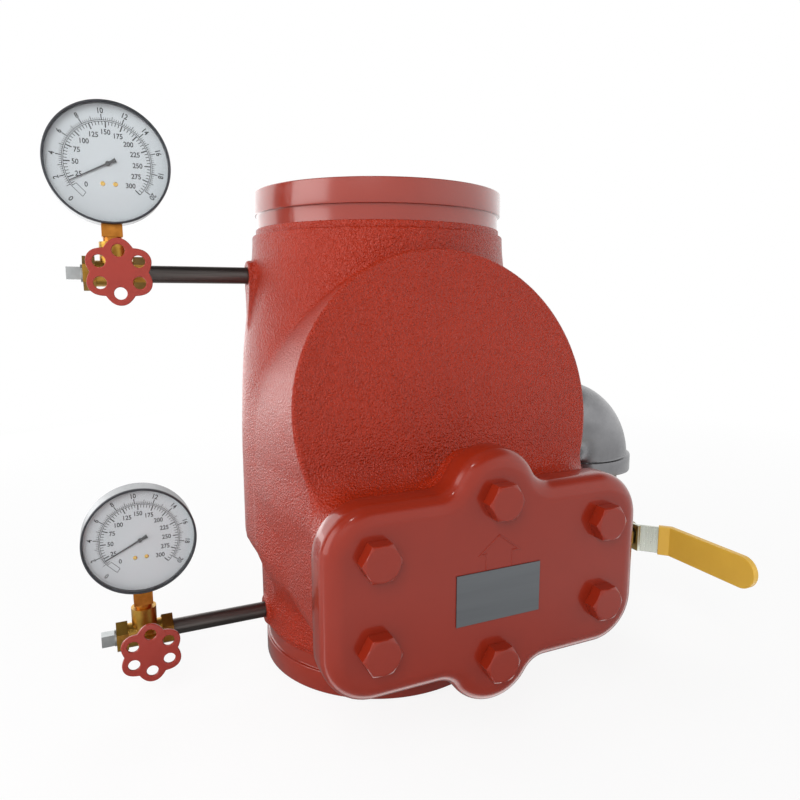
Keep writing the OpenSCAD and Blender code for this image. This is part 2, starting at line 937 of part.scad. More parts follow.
module gauge_valve_body(tap) {
    color(brass)
        at_tap(tap)
            difference() {
                union() {
                    rod_left(gvalve_near, gvalve_far, gvalve_r);
                    for (x = [gvalve_near, gvalve_far - gvalve_hex]) {
                        translate([-x, 0, 0])
                            rotate([0, -90, 0])
                                linear_extrude(height = gvalve_hex)
                                    hexagon(gvalve_af);
                    }
                    translate([-gvalve_mid, 0, 0])
                        cylinder(h = gport_top, r = gport_r, $fn = mid_fn);
                    translate([-stem_x, 0, 0])
                        rod_front(0, boss_front, gvalve_r - 1);
                }
                rod_left(gvalve_near - eps, gvalve_near + tap_grip, nipple_r);
                rod_left(gvalve_far - tap_grip, gvalve_far + eps, nipple_r);
                rod_left(gvalve_near, gvalve_far, gbore_r, small_fn);
                translate([-gvalve_mid, 0, 0])
                    cylinder(h = gport_top, r = gbore_r, $fn = small_fn);
                translate([-gvalve_mid, 0, gport_floor])
                    cylinder(h = gport_grip + eps, r = socket_neck_r, $fn = mid_fn);
                translate([-stem_x, 0, 0])
                    rod_front(bore_end, boss_front + eps, chamber_bore_r);
            }
}

module gauge_bonnet(tap) {
    color(brass)
        at_tap(tap)
            translate([-stem_x, 0, 0])
                difference() {
                    union() {
                        rod_front(boss_front - bonnet_grip, boss_front + 1, chamber_bore_r);
                        in_front(boss_front, bonnet_hex)
                            hexagon(bonnet_af);
                    }
                    rod_front(boss_front - bonnet_grip - eps, bonnet_front + eps, gstem_r + run_fit);
                }
}

module gauge_packing_nut(tap) {
    color(brass)
        at_tap(tap)
            translate([-stem_x, 0, 0])
                difference() {
                    in_front(bonnet_front, packing_len)
                        hexagon(packing_nut_af);
                    rod_front(bonnet_front - eps, packing_front + eps, gstem_r + run_fit);
                }
}

module gauge_valve_stem(tap) {
    color(steel)
        at_tap(tap)
            translate([-stem_x, 0, 0])
                rod_front(disc_back, wheel_front - 1, gstem_r);
}

module gauge_valve_disc(tap) {
    color(brass)
        at_tap(tap)
            translate([-stem_x, 0, 0])
                rod_front(disc_back - disc_t, disc_back, disc_r);
}

module gauge_handwheel(tap) {
    color(body_paint)
        at_tap(tap)
            translate([-stem_x, 0, 0])
                difference() {
                    in_front(wheel_back, wheel_t)
                        difference() {
                            union() {
                                circle(r = wheel_web_r, $fn = mid_fn);
                                for (n = [0:5]) {
                                    rotate(30 + 60 * n)
                                        translate([wheel_hole_ring, 0])
                                            circle(r = wheel_lobe_r, $fn = mid_fn);
                                }
                            }
                            for (n = [0:5]) {
                                rotate(30 + 60 * n)
                                    translate([wheel_hole_ring, 0])
                                        circle(r = wheel_hole_r, $fn = small_fn);
                            }
                        }
                    rod_front(wheel_back - eps, wheel_front - 1, gstem_r);
                }
}

module gauge_port_plug(tap) {
    color(steel)
        at_tap(tap) {
            rod_left(gvalve_far - tap_grip, gvalve_far + plug_neck, nipple_r);
            translate([-gvalve_far - plug_neck - plug_head, -plug_side / 2, -plug_side / 2])
                cube([plug_head, plug_side, plug_side]);
        }
}

// The square block under the gauge, which reaches a little way into its case.
module socket_block(tap) {
    translate([-gvalve_mid - socket_side / 2, -socket_side / 2, socket_low])
        cube([socket_side, socket_side, tap[2] - gauge_r + socket_in - socket_low]);
}

module gauge_socket(tap) {
    color(copper)
        at_tap(tap)
            difference() {
                union() {
                    translate([-gvalve_mid, 0, gport_floor])
                        cylinder(h = socket_low + 1 - gport_floor, r = socket_neck_r, $fn = mid_fn);
                    socket_block(tap);
                }
                translate([-gvalve_mid, 0, gport_floor - eps])
                    cylinder(h = tap[2] - gauge_r - gport_floor, r = socket_bore_r, $fn = small_fn);
            }
}

module gauge_case(tap) {
    color(steel)
        difference() {
            at_gauge(tap)
                rotate([90, 0, 0])
                    rotate_extrude($fn = big_fn)
                        polygon([
                            [0, -gauge_back],
                            [gauge_r - 2, -gauge_back],
                            [gauge_r, -gauge_back + 2],
                            [gauge_r, gauge_front - ring_t],
                            [gauge_r - case_wall, gauge_front - ring_t],
                            [gauge_r - case_wall, -gauge_back + case_wall],
                            [0, -gauge_back + case_wall]
                        ]);
            at_tap(tap)
                socket_block(tap);
        }
}

module gauge_ring(tap) {
    color(dark_steel)
        at_gauge(tap)
            rotate([90, 0, 0])
                rotate_extrude($fn = big_fn)
                    polygon([
                        [gauge_r - ring_w, gauge_front - ring_t],
                        [gauge_r, gauge_front - ring_t],
                        [gauge_r, gauge_front - 1],
                        [gauge_r - 1, gauge_front],
                        [gauge_r - ring_w, gauge_front]
                    ]);
}

module gauge_lens(tap) {
    color(glass, 0.35)
        at_gauge(tap)
            rod_front(lens_back, lens_back + lens_t, gauge_r - ring_w, big_fn);
}

module gauge_dial(tap) {
    color(dial_grey)
        at_gauge(tap)
            difference() {
                rod_front(dial_y - dial_t, dial_y, gauge_r - case_wall, big_fn);
                rod_front(dial_y - dial_t - eps, dial_y + eps, spindle_r + run_fit, small_fn);
            }
}

module gauge_pointer(tap) {
    color(dark_steel)
        at_gauge(tap)
            rotate([0, -pointer_turn, 0]) {
                rod_front(dial_y - spindle_len, pointer_y + pointer_t, spindle_r, small_fn);
                in_front(pointer_y - pointer_t, pointer_t) {
                    polygon([
                        [-pointer_w, 0],
                        [-pointer_tip_w, pointer_len],
                        [pointer_tip_w, pointer_len],
                        [pointer_w, 0],
                        [pointer_tail_w, -pointer_tail],
                        [-pointer_tail_w, -pointer_tail]
                    ]);
                    circle(r = pointer_hub_r, $fn = small_fn);
                }
            }
}

// Moves to the drain line: the origin is on the drain pipe at the port height.
module at_drain() {
    translate([drain_x, -drain_reach, drain_z])
        children();
}

module pipe_up(low, high, bore) {
    translate([0, 0, low - drain_z])
        difference() {
            cylinder(h = high - low, r = drain_r, $fn = mid_fn);
            translate([0, 0, -eps])
                cylinder(h = high - low + 2 * eps, r = bore, $fn = mid_fn);
        }
}

module drain_nipple() {
    color(dark_steel)
        translate([0, -drain_reach, drain_z])
            difference() {
                rod_right(drain_face - drain_grip, elbow_in + fitting_grip, drain_r);
                rod_right(drain_face - drain_grip - eps, elbow_in + fitting_grip + eps, drain_bore_r);
            }
}

// One quarter bend of a given radius, with both its straight legs.
module elbow_solid(radius, reach) {
    translate([-elbow_bend, 0, -elbow_bend])
        rotate([90, 0, 0])
            rotate_extrude(angle = 90, $fn = big_fn)
                translate([elbow_bend, 0])
                    circle(r = radius, $fn = mid_fn);
    translate([0, 0, -reach])
        cylinder(h = reach - elbow_bend, r = radius, $fn = mid_fn);
    rod_left(elbow_bend, reach, radius);
}

module drain_elbow() {
    color(iron)
        at_drain()
            difference() {
                union() {
                    elbow_solid(elbow_r, elbow_reach);
                    translate([0, 0, -elbow_reach])
                        cylinder(h = band_len, r = band_d / 2, $fn = mid_fn);
                    rod_left(elbow_reach - band_len, elbow_reach, band_d / 2);
                }
                elbow_solid(drain_bore_r, elbow_reach + eps);
                translate([0, 0, -elbow_reach - eps])
                    cylinder(h = fitting_grip + eps, r = drain_r, $fn = mid_fn);
                rod_left(elbow_reach - fitting_grip, elbow_reach + eps, drain_r);
            }
}

module drain_riser() {
    color(dark_steel)
        at_drain()
            pipe_up(dvalve_top - fitting_grip, elbow_out + fitting_grip, drain_bore_r);
}

module at_dvalve() {
    translate([drain_x, -drain_reach, dvalve_z])
        children();
}

module drain_valve_body() {
    half = dvalve_len / 2;
    color(brass)
        at_dvalve()
            difference() {
                union() {
                    translate([0, 0, half - dvalve_hex])
                        linear_extrude(height = dvalve_hex)
                            hexagon(dvalve_af);
                    translate([0, 0, dvalve_belly - dvalve_lap])
                        cylinder(
                            h = half - dvalve_hex - dvalve_belly + 2 * dvalve_lap,
                            r1 = dvalve_r - dvalve_shoulder,
                            r2 = dvalve_af / 2 - dvalve_neck,
                            $fn = mid_fn
                        );
                    translate([0, 0, -dvalve_belly - dvalve_skirt])
                        cylinder(h = 2 * dvalve_belly + dvalve_skirt, r = dvalve_r, $fn = mid_fn);
                    rod_right(dboss_root, dboss_x - drain_x, dboss_r);
                }
                translate([0, 0, half - fitting_grip])
                    cylinder(h = fitting_grip + eps, r = drain_r, $fn = mid_fn);
                cylinder(h = half, r = ball_bore_r, $fn = mid_fn);
                translate([0, 0, -half])
                    cylinder(h = half + ball_seat_high, r = end_thread_r, $fn = mid_fn);
                rod_right(0, dboss_x - drain_x + eps, dstem_r + run_fit);
            }
}

module drain_valve_end() {
    half = dvalve_len / 2;
    neck = half - dvalve_hex - ball_seat_high;
    color(brass)
        at_dvalve()
            difference() {
                union() {
                    translate([0, 0, -half])
                        linear_extrude(height = dvalve_hex)
                            hexagon(dvalve_af);
                    translate([0, 0, -half + dvalve_hex - 1])
                        cylinder(h = neck + 1, r = end_thread_r, $fn = mid_fn);
                }
                translate([0, 0, -half - eps])
                    cylinder(h = fitting_grip + eps, r = drain_r, $fn = mid_fn);
                translate([0, 0, -half])
                    cylinder(h = half, r = ball_bore_r, $fn = mid_fn);
            }
}

module drain_ball() {
    color(steel)
        at_dvalve()
            difference() {
                sphere(r = ball_r, $fn = 40);
                rod_front(-ball_r - 1, ball_r + 1, ball_bore_r);
                rod_right(dstem_x - drain_x, ball_r + 1, dstem_r);
            }
}

module drain_ball_seats() {
    color(ptfe)
        at_dvalve()
            difference() {
                for (side = [-1, 1]) {
                    translate([0, 0, side > 0 ? ball_seat_low : -ball_seat_high])
                        cylinder(h = ball_seat_high - ball_seat_low, r = end_thread_r, $fn = mid_fn);
                }
                sphere(r = ball_r + ball_gap, $fn = 40);
                translate([0, 0, -ball_r])
                    cylinder(h = 2 * ball_r, r = ball_bore_r, $fn = mid_fn);
            }
}

module drain_stem() {
    color(steel)
        at_dvalve()
            rod_right(dstem_x - drain_x, lever_x + lever_t + lever_nut_t + 1 - drain_x, dstem_r);
}

module drain_packing_nut() {
    color(brass)
        at_dvalve()
            translate([dboss_x - drain_x, 0, 0])
                difference() {
                    rotate([0, 90, 0])
                        linear_extrude(height = packing_t)
                            hexagon(packing_af);
                    rod_right(-eps, packing_t + eps, dstem_r + run_fit);
                }
}

// The lever's path seen from above: the hub strip, the offset and the long grip,
// drawn as a band between two faces.
module lever_band(inner, outer, from_share, reach) {
    turn = atan2(offset_rise, offset_run);
    ease_in = inner * tan(turn / 2);
    ease_out = outer * tan(turn / 2);
    start_x = offset_rise * from_share;
    start_y = -offset_start - offset_run * from_share;
    end_y = -offset_start - offset_run;
    polygon([
        [start_x + inner * cos(turn), start_y + inner * sin(turn)],
        [offset_rise + inner, end_y + ease_in],
        [offset_rise + inner, -reach],
        [offset_rise + outer, -reach],
        [offset_rise + outer, end_y + ease_out],
        [start_x + outer * cos(turn), start_y + outer * sin(turn)]
    ]);
}

module lever_grip(inner, outer, from_share, reach, width) {
    at_dvalve()
        translate([lever_x - drain_x, 0, -width / 2]) {
            linear_extrude(height = width)
                lever_band(inner, outer, from_share, reach - width / 2);
            translate([offset_rise + inner, -reach + width / 2, width / 2])
                rod_right(0, outer - inner, width / 2);
        }
}

module drain_lever() {
    color(steel)
        difference() {
            union() {
                lever_grip(0, lever_t, 0, lever_len - sleeve_end_gap - sleeve_wall, lever_w);
                at_dvalve()
                    translate([lever_x - drain_x, 0, 0]) {
                        translate([0, -offset_start - lever_t, -lever_w / 2])
                            cube([lever_t, offset_start + lever_t, lever_w]);
                        rod_right(0, lever_t, lever_w / 2);
                    }
            }
            at_dvalve()
                rod_right(lever_x - drain_x - 1, lever_x - drain_x + lever_t + 1, dstem_r);
        }
}

module drain_lever_nut() {
    color(steel)
        at_dvalve()
            translate([lever_x + lever_t - drain_x, 0, 0])
                difference() {
                    rotate([0, 90, 0])
                        hex_head(lever_nut_af, lever_nut_t);
                    rod_right(-eps, lever_nut_t + eps, dstem_r);
                }
}

module lever_sleeve() {
    color(yellow)
        difference() {
            lever_grip(-sleeve_wall, lever_t + sleeve_wall, sleeve_start, lever_len, sleeve_w);
            lever_grip(0, lever_t, 0, lever_len - sleeve_end_gap - sleeve_wall, lever_w);
        }
}

module upper_nipple() { gauge_nipple(upper_tap); }
module upper_valve_body() { gauge_valve_body(upper_tap); }
module upper_bonnet() { gauge_bonnet(upper_tap); }
module upper_packing_nut() { gauge_packing_nut(upper_tap); }
module upper_valve_stem() { gauge_valve_stem(upper_tap); }
module upper_valve_disc() { gauge_valve_disc(upper_tap); }
module upper_handwheel() { gauge_handwheel(upper_tap); }
module upper_port_plug() { gauge_port_plug(upper_tap); }
module upper_gauge_socket() { gauge_socket(upper_tap); }
module upper_gauge_case() { gauge_case(upper_tap); }
module upper_gauge_ring() { gauge_ring(upper_tap); }
module upper_gauge_lens() { gauge_lens(upper_tap); }
module upper_gauge_dial() { gauge_dial(upper_tap); }
module upper_pointer() { gauge_pointer(upper_tap); }
module lower_nipple() { gauge_nipple(lower_tap); }
module lower_valve_body() { gauge_valve_body(lower_tap); }
module lower_bonnet() { gauge_bonnet(lower_tap); }
module lower_packing_nut() { gauge_packing_nut(lower_tap); }
module lower_valve_stem() { gauge_valve_stem(lower_tap); }
module lower_valve_disc() { gauge_valve_disc(lower_tap); }
module lower_handwheel() { gauge_handwheel(lower_tap); }
module lower_port_plug() { gauge_port_plug(lower_tap); }
module lower_gauge_socket() { gauge_socket(lower_tap); }
module lower_gauge_case() { gauge_case(lower_tap); }
module lower_gauge_ring() { gauge_ring(lower_tap); }
module lower_gauge_lens() { gauge_lens(lower_tap); }
module lower_gauge_dial() { gauge_dial(lower_tap); }
module lower_pointer() { gauge_pointer(lower_tap); }

body();
seat_ring();
clapper_disc();
clapper_seal();
seal_retainer();
retainer_screws();
clapper_arm();
clapper_nut();
hinge_pin();
hinge_clips();
access_cover();
cover_gasket();
cover_bolts();
label_plate();
upper_nipple();
upper_valve_body();
upper_bonnet();
upper_packing_nut();
upper_valve_stem();
upper_valve_disc();
upper_handwheel();
upper_port_plug();
upper_gauge_socket();
upper_gauge_case();
upper_gauge_ring();
upper_gauge_lens();
upper_gauge_dial();
upper_pointer();
lower_nipple();
lower_valve_body();
lower_bonnet();
lower_packing_nut();
lower_valve_stem();
lower_valve_disc();
lower_handwheel();
lower_port_plug();
lower_gauge_socket();
lower_gauge_case();
lower_gauge_ring();
lower_gauge_lens();
lower_gauge_dial();
lower_pointer();
drain_nipple();
drain_elbow();
drain_riser();
drain_valve_body();
drain_valve_end();
drain_ball();
drain_ball_seats();
drain_stem();
drain_packing_nut();
drain_lever();
drain_lever_nut();
lever_sleeve();
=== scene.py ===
"""Looks of a swing check valve for a wet riser, with its gauge trim and drain line.

Lengths are millimetres, as on the drawing, and turn to metres where a mesh is made.
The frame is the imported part: +Z up along the riser, the access cover faces -Y.
"""

import logging
import math
from dataclasses import dataclass
from enum import Enum
from typing import Callable, Optional, Sequence

import bpy
import numpy as np
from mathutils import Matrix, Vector


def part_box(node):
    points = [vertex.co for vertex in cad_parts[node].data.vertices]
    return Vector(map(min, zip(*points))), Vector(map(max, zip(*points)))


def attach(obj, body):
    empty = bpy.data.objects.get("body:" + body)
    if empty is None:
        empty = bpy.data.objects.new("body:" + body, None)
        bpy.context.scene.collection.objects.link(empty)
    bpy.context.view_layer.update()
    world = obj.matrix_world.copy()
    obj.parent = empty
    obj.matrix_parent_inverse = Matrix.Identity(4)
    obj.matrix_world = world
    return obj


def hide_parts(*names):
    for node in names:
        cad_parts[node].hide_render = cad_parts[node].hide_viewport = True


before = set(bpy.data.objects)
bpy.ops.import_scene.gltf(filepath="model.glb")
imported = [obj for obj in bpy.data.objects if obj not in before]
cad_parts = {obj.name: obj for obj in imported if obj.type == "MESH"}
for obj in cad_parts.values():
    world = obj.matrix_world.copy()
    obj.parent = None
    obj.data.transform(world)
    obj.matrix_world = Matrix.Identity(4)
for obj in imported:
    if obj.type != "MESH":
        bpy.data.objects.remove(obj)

MM = 0.001

log = logging.getLogger("check_valve")
Tree = bpy.types.NodeTree
Array = np.ndarray
Field = Callable[[Array, Array, Array], Array]


# Colours and shader nodes


def linear(code: str) -> tuple[float, float, float, float]:
    """Turns an sRGB hex colour to linear light.

    Args:
        code: the colour, such as "A9332A".

    Returns:
        Red, green, blue and an alpha of one.
    """
    parts = [int(code[i : i + 2], 16) / 255 for i in (0, 2, 4)]
    light = [p / 12.92 if p <= 0.04045 else ((p + 0.055) / 1.055) ** 2.4 for p in parts]
    return (light[0], light[1], light[2], 1.0)


def add(tree: Tree, kind: str, links: Optional[dict] = None, **settings) -> bpy.types.Node:
    """Adds a node with its settings and links.

    Args:
        tree: the material's or the world's node tree.
        kind: the node's type name, without "ShaderNode".
        links: for each input name or number a value, or what feeds it: an output, or the node
            whose first output does.
        settings: the node's own properties.

    Returns:
        The new node.
    """
    node = tree.nodes.new("ShaderNode" + kind)
    for name, value in settings.items():
        setattr(node, name, value)
    for key, value in (links or {}).items():
        if isinstance(value, bpy.types.Node):
            value = value.outputs[0]
        if isinstance(value, bpy.types.NodeSocket):
            tree.links.new(value, node.inputs[key])
        else:
            node.inputs[key].default_value = value
    return node


class Grain(Enum):
    """Direction in which a brushed or drawn surface is streaked."""

    NONE = (1.0, 1.0, 1.0)
    ALONG_X = (0.04, 1.0, 1.0)
    ALONG_Z = (1.0, 1.0, 0.04)


@dataclass(frozen=True)
class Finish:
    """A surface: its colours, its pattern at a real size, and its gloss."""

    name: str
    slot: str
    colour: str
    shade: str
    patch_mm: float = 30.0
    patch: float = 0.5
    grain_mm: float = 1.0
    height_mm: float = 0.0
    roughness: float = 0.4
    spread: float = 0.08
    grain: Grain = Grain.NONE

    def shader_inputs(self) -> dict:
        """Constant sockets of the shader, which each kind of finish adds to."""
        return {}

    def relief(self, tree: Tree, place: bpy.types.Node) -> bpy.types.Node:
        """Height pattern of the surface: noise whose bumps are grain_mm wide."""
        scale = 0.5 / (self.grain_mm * MM)
        return add(tree, "TexNoise", {"Vector": place, "Scale": scale, "Detail": 3.0, "Roughness": 0.5})

    def material(self) -> bpy.types.Material:
        """The finish as a material, made at its first use.

        Returns:
            The material: patches of two tones, a relief and a varying gloss.
        """
        found = bpy.data.materials.get(self.name)
        if found:
            return found
        made = bpy.data.materials.new(self.name)
        made.use_nodes = True
        tree = made.node_tree
        tree.nodes.clear()
        place = add(tree, "TexCoord").outputs["Object"]
        streaked = add(tree, "Mapping", {"Vector": place, "Scale": self.grain.value})
        scale = 0.5 / (self.patch_mm * MM)
        clouds = add(tree, "TexNoise", {"Vector": streaked, "Scale": scale, "Detail": 4.0, "Roughness": 0.6})
        ends = {"From Min": 0.32, "From Max": 0.68, "To Max": self.patch}
        share = add(tree, "MapRange", {"Value": clouds, **ends})
        tones = {"Color1": linear(self.colour), "Color2": linear(self.shade)}
        tone = add(tree, "MixRGB", {"Fac": share, **tones})
        height = self.relief(tree, streaked)
        least, most = self.roughness - self.spread / 2, self.roughness + self.spread / 2
        ends = {"From Min": 0.3, "From Max": 0.7, "To Min": least, "To Max": most}
        gloss = add(tree, "MapRange", {"Value": height, **ends})
        links = {"Base Color": tone, "Roughness": gloss, **self.shader_inputs()}
        if self.height_mm > 0:
            bumps = {"Height": height, "Strength": 1.0, "Distance": self.height_mm * MM}
            links["Normal"] = add(tree, "Bump", bumps)
        shader = add(tree, "BsdfPrincipled", links)
        add(tree, "OutputMaterial", {"Surface": shader})
        return made


@dataclass(frozen=True)
class Enamel(Finish):
    """Sprayed enamel on iron: a coloured coat under a thin clear gloss."""

    coat: float = 0.3
    coat_roughness: float = 0.12
    ior: float = 1.5

    def shader_inputs(self) -> dict:
        """Gloss of the enamel and of the clear layer on it."""
        return {"Coat Weight": self.coat, "Coat Roughness": self.coat_roughness, "IOR": self.ior}


@dataclass(frozen=True)
class CastEnamel(Enamel):
    """Enamel on a sand casting: the sand's dimples show through as a leathery skin."""

    def relief(self, tree: Tree, place: bpy.types.Node) -> bpy.types.Node:
        """Rounded dimples: a bent cell pattern with wider noise on it.

        Args:
            tree: the material's node tree.
            place: the node that gives the place.

        Returns:
            The node that gives the height.
        """
        wide = self.grain_mm * MM
        bend = add(tree, "TexNoise", {"Vector": place, "Scale": 0.5 / wide, "Detail": 2.0})
        push = {"Fac": 0.5 * wide, "Color1": place, "Color2": bend.outputs["Color"]}
        moved = add(tree, "MixRGB", push, blend_type="ADD")
        cells = {"Vector": moved, "Scale": 1.0 / wide, "Smoothness": 0.9}
        dimples = add(tree, "TexVoronoi", cells, feature="SMOOTH_F1")
        both = add(tree, "Math", {0: dimples, 1: bend}, operation="ADD")
        return add(tree, "Math", {0: both, 1: 0.5}, operation="MULTIPLY")


@dataclass(frozen=True)
class Metal(Finish):
    """Bare or plated metal."""

    def shader_inputs(self) -> dict:
        """A metal keeps the shader's own index of refraction."""
        return {"Metallic": 1.0}


@dataclass(frozen=True)
class Moulded(Finish):
    """Rubber, plastic, paper or vinyl."""

    ior: float = 1.5

    def shader_inputs(self) -> dict:
        """Index of refraction of the compound."""
        return {"IOR": self.ior}


@dataclass(frozen=True)
class Window(Finish):
    """Clear flat window that lets its dial show."""

    alpha: float = 0.03

    def shader_inputs(self) -> dict:
        """Nearly all light goes straight through."""
        return {"Alpha": self.alpha, "IOR": 1.5}


# Cast iron, cast in sand and sprayed: deep red, dimpled like leather, with a gloss on each dimple.
# The dimples are drawn deeper than sand leaves them, so that they show at this distance.
CAST_RED = CastEnamel(
    "enamel_on_sand_casting", "body_paint", "9E270C", "8F2109",
    patch_mm=40, patch=0.6, grain_mm=1.2, height_mm=2.1, roughness=0.34, spread=0.12, ior=1.43, coat=0.0,
)
# The turned ends take the same enamel on a smooth skin, so they shine in long streaks.
TURNED_RED = Enamel(
    "enamel_on_turned_iron", "body_paint", "8E2611", "85230F",
    patch_mm=60, patch=0.5, grain_mm=6, height_mm=0.01, roughness=0.3, spread=0.05, coat=0.9,
)
# The cover is a smooth casting under a thick coat: browner red, with crisp lines along its round edge.
COVER_RED = Enamel(
    "enamel_on_cover", "cover_paint", "8A230E", "82200C",
    patch_mm=50, patch=0.5, grain_mm=20, roughness=0.3, spread=0.05, coat=0.45,
    coat_roughness=0.05, ior=1.33,
)
# Pressed handwheels, dipped in red: satin, with a paler worn tone.
WHEEL_RED = Enamel(
    "enamel_on_handwheel", "wheel_paint", "9C2F22", "922B1F",
    patch_mm=8, patch=0.6, grain_mm=2, height_mm=0.03, roughness=0.4, spread=0.1, coat=0.2,
)
# Bronze seat ring, turned: warm and smooth.
BRONZE = Metal(
    "turned_bronze", "bronze", "B08D57", "94703C", patch_mm=12, grain_mm=0.6, height_mm=0.01,
    roughness=0.3,
)
# Forged brass: yellow brown, slightly dull, with darker stains in it.
BRASS = Metal(
    "forged_brass", "brass", "CDA14E", "9A732A", patch_mm=7, patch=0.8, grain_mm=0.7, height_mm=0.03,
    roughness=0.36, spread=0.14,
)
# The ball valve is forged in larger dies, so its stains are wider and its skin is a little brighter.
DRAIN_BRASS = Metal(
    "forged_brass_drain_valve", "drain_brass", "B8934F", "94702E", patch_mm=14, patch=0.7,
    grain_mm=1.0, height_mm=0.03, roughness=0.34, spread=0.12,
)
# Gauge socket: copper alloy, orange where it is bright and brown where it has tarnished.
COPPER = Metal(
    "tarnished_copper", "copper_alloy", "D08A3C", "985A20", patch_mm=6, patch=0.8, grain_mm=0.6,
    height_mm=0.015, roughness=0.34, spread=0.1,
)
# Ductile iron inside the valve, blasted and left bare.
BARE_IRON = Metal(
    "blasted_iron", "bare_iron", "8B8A88", "6F6D6B", patch_mm=15, patch=0.7, grain_mm=0.8,
    height_mm=0.06, roughness=0.55, spread=0.1,
)
# Small screws of the dial: polished brass, golden with a pale shine.
BRIGHT_BRASS = Metal(
    "polished_brass_screw", "brass", "E2BE6A", "C99F45", patch_mm=1.5, grain_mm=0.5, roughness=0.2,
    spread=0.05,
)
# Hot-dip zinc: pale grey with soft darker clouds.
ZINC = Metal(
    "hot_dip_zinc", "galvanised", "8B8B8D", "737375", patch_mm=16, patch=0.7, grain_mm=1.4,
    height_mm=0.03, roughness=0.33, spread=0.1,
)
# Black pipe: mill scale, dark brown grey, streaked along the pipe.
BLACK_PIPE = Metal(
    "mill_scale_pipe", "black_pipe", "726D6A", "504B49", patch_mm=2.2, patch=0.9, grain_mm=0.7,
    height_mm=0.03, roughness=0.42, spread=0.16, grain=Grain.ALONG_X,
)
# The same pipe standing up, so that its streaks run with it.
RISER_PIPE = Metal(
    "mill_scale_riser", "black_pipe", "726D6A", "504B49", patch_mm=3, patch=0.9, grain_mm=0.9,
    height_mm=0.03, roughness=0.42, spread=0.16, grain=Grain.ALONG_Z,
)
# Zinc-plated plugs: light grey and satin.
PLUG_ZINC = Metal(
    "zinc_plated_plug", "plug_zinc", "BFC2C2", "9CA0A1", patch_mm=4, grain_mm=0.6, height_mm=0.02,
    roughness=0.38,
)
# Stainless parts inside: even and bright.
STAINLESS = Metal(
    "turned_stainless", "stainless", "B9BBBC", "A3A5A7", patch_mm=8, grain_mm=0.5, height_mm=0.008,
    roughness=0.26,
)
# The lever: plated strip, brushed across its width, with a faint green cast.
LEVER_PLATE = Metal(
    "brushed_plated_strip", "lever_plate", "DBDED3", "BFC3B7", patch_mm=1.6, patch=0.8, grain_mm=0.5,
    height_mm=0.015, roughness=0.3, spread=0.1, grain=Grain.ALONG_Z,
)
# The ball, ground and chromed: an even mirror.
CHROME = Metal(
    "chrome_ball", "ball_chrome", "D4D6D8", "C4C6C8", patch_mm=20, grain_mm=3, roughness=0.12,
    spread=0.03,
)
# Gauge case: drawn stainless, pale and satin.
CASE_STEEL = Metal(
    "drawn_gauge_case", "case_steel", "8E9092", "7F8183", patch_mm=12, grain_mm=1, height_mm=0.01,
    roughness=0.38, spread=0.06,
)
# Crimped ring, black plated.
RING_BLACK = Metal(
    "black_plated_ring", "ring_black", "55565A", "3F4043", patch_mm=10, grain_mm=1, height_mm=0.01,
    roughness=0.34, spread=0.06,
)
# Window pressed from clear sheet: it only shows as a faint sheen.
GAUGE_GLASS = Window(
    "flat_gauge_glass", "gauge_glass", "FFFFFF", "F4F8FA", patch_mm=30, grain_mm=10, roughness=0.04,
    spread=0.02,
)
# Dial: painted tin, cool pale grey, matt.
DIAL_PAINT = Moulded(
    "painted_tin_dial", "dial_face", "C2C9CD", "BCC4C8", patch_mm=25, grain_mm=0.8, height_mm=0.004,
    roughness=0.5,
)
# Printed ink: nearly black and matt.
DIAL_INK = Moulded(
    "dial_ink", "needle_black", "1E2124", "26292C", patch_mm=5, grain_mm=0.8, roughness=0.5,
)
# Pointer, stamped and lacquered: dark grey with a little gloss.
NEEDLE = Moulded(
    "needle_lacquer", "needle_black", "3A3C3E", "2C2E30", patch_mm=5, grain_mm=0.8, roughness=0.35,
)
# Facing, moulded from rubber: black and dull, with a fine grain.
RUBBER = Moulded(
    "moulded_rubber", "seal_rubber", "232323", "2C2C2B", patch_mm=10, grain_mm=0.8, height_mm=0.02,
    roughness=0.6,
)
# Gasket, cut from fibre sheet: dark and dry.
GASKET = Moulded(
    "cut_gasket_sheet", "gasket_sheet", "2B2B2B", "383633", patch_mm=3, grain_mm=0.7,
    height_mm=0.03, roughness=0.75,
)
# Ball seats, pressed from white plastic: waxy and smooth.
SEAT_PLASTIC = Moulded(
    "pressed_seat_plastic", "seat_plastic", "E9E7E0", "DFDCD3", patch_mm=8, grain_mm=1,
    height_mm=0.01, roughness=0.45,
)
# Plate on the cover, cut from rolled sheet: dull grey, faintly streaked along its length.
PLATE_GREY = Metal(
    "rolled_plate", "plate_grey", "74777A", "6A6D70", patch_mm=5, patch=0.6, grain_mm=0.8,
    height_mm=0.006, roughness=0.45, spread=0.06, grain=Grain.ALONG_X,
)
# Dipped vinyl: thick, soft yellow with a mild gloss.
VINYL = Moulded(
    "dipped_vinyl", "vinyl_yellow", "EABC4A", "DEAF41", patch_mm=25, patch=0.6, grain_mm=3,
    height_mm=0.03, roughness=0.38, spread=0.06,
)


# Meshes


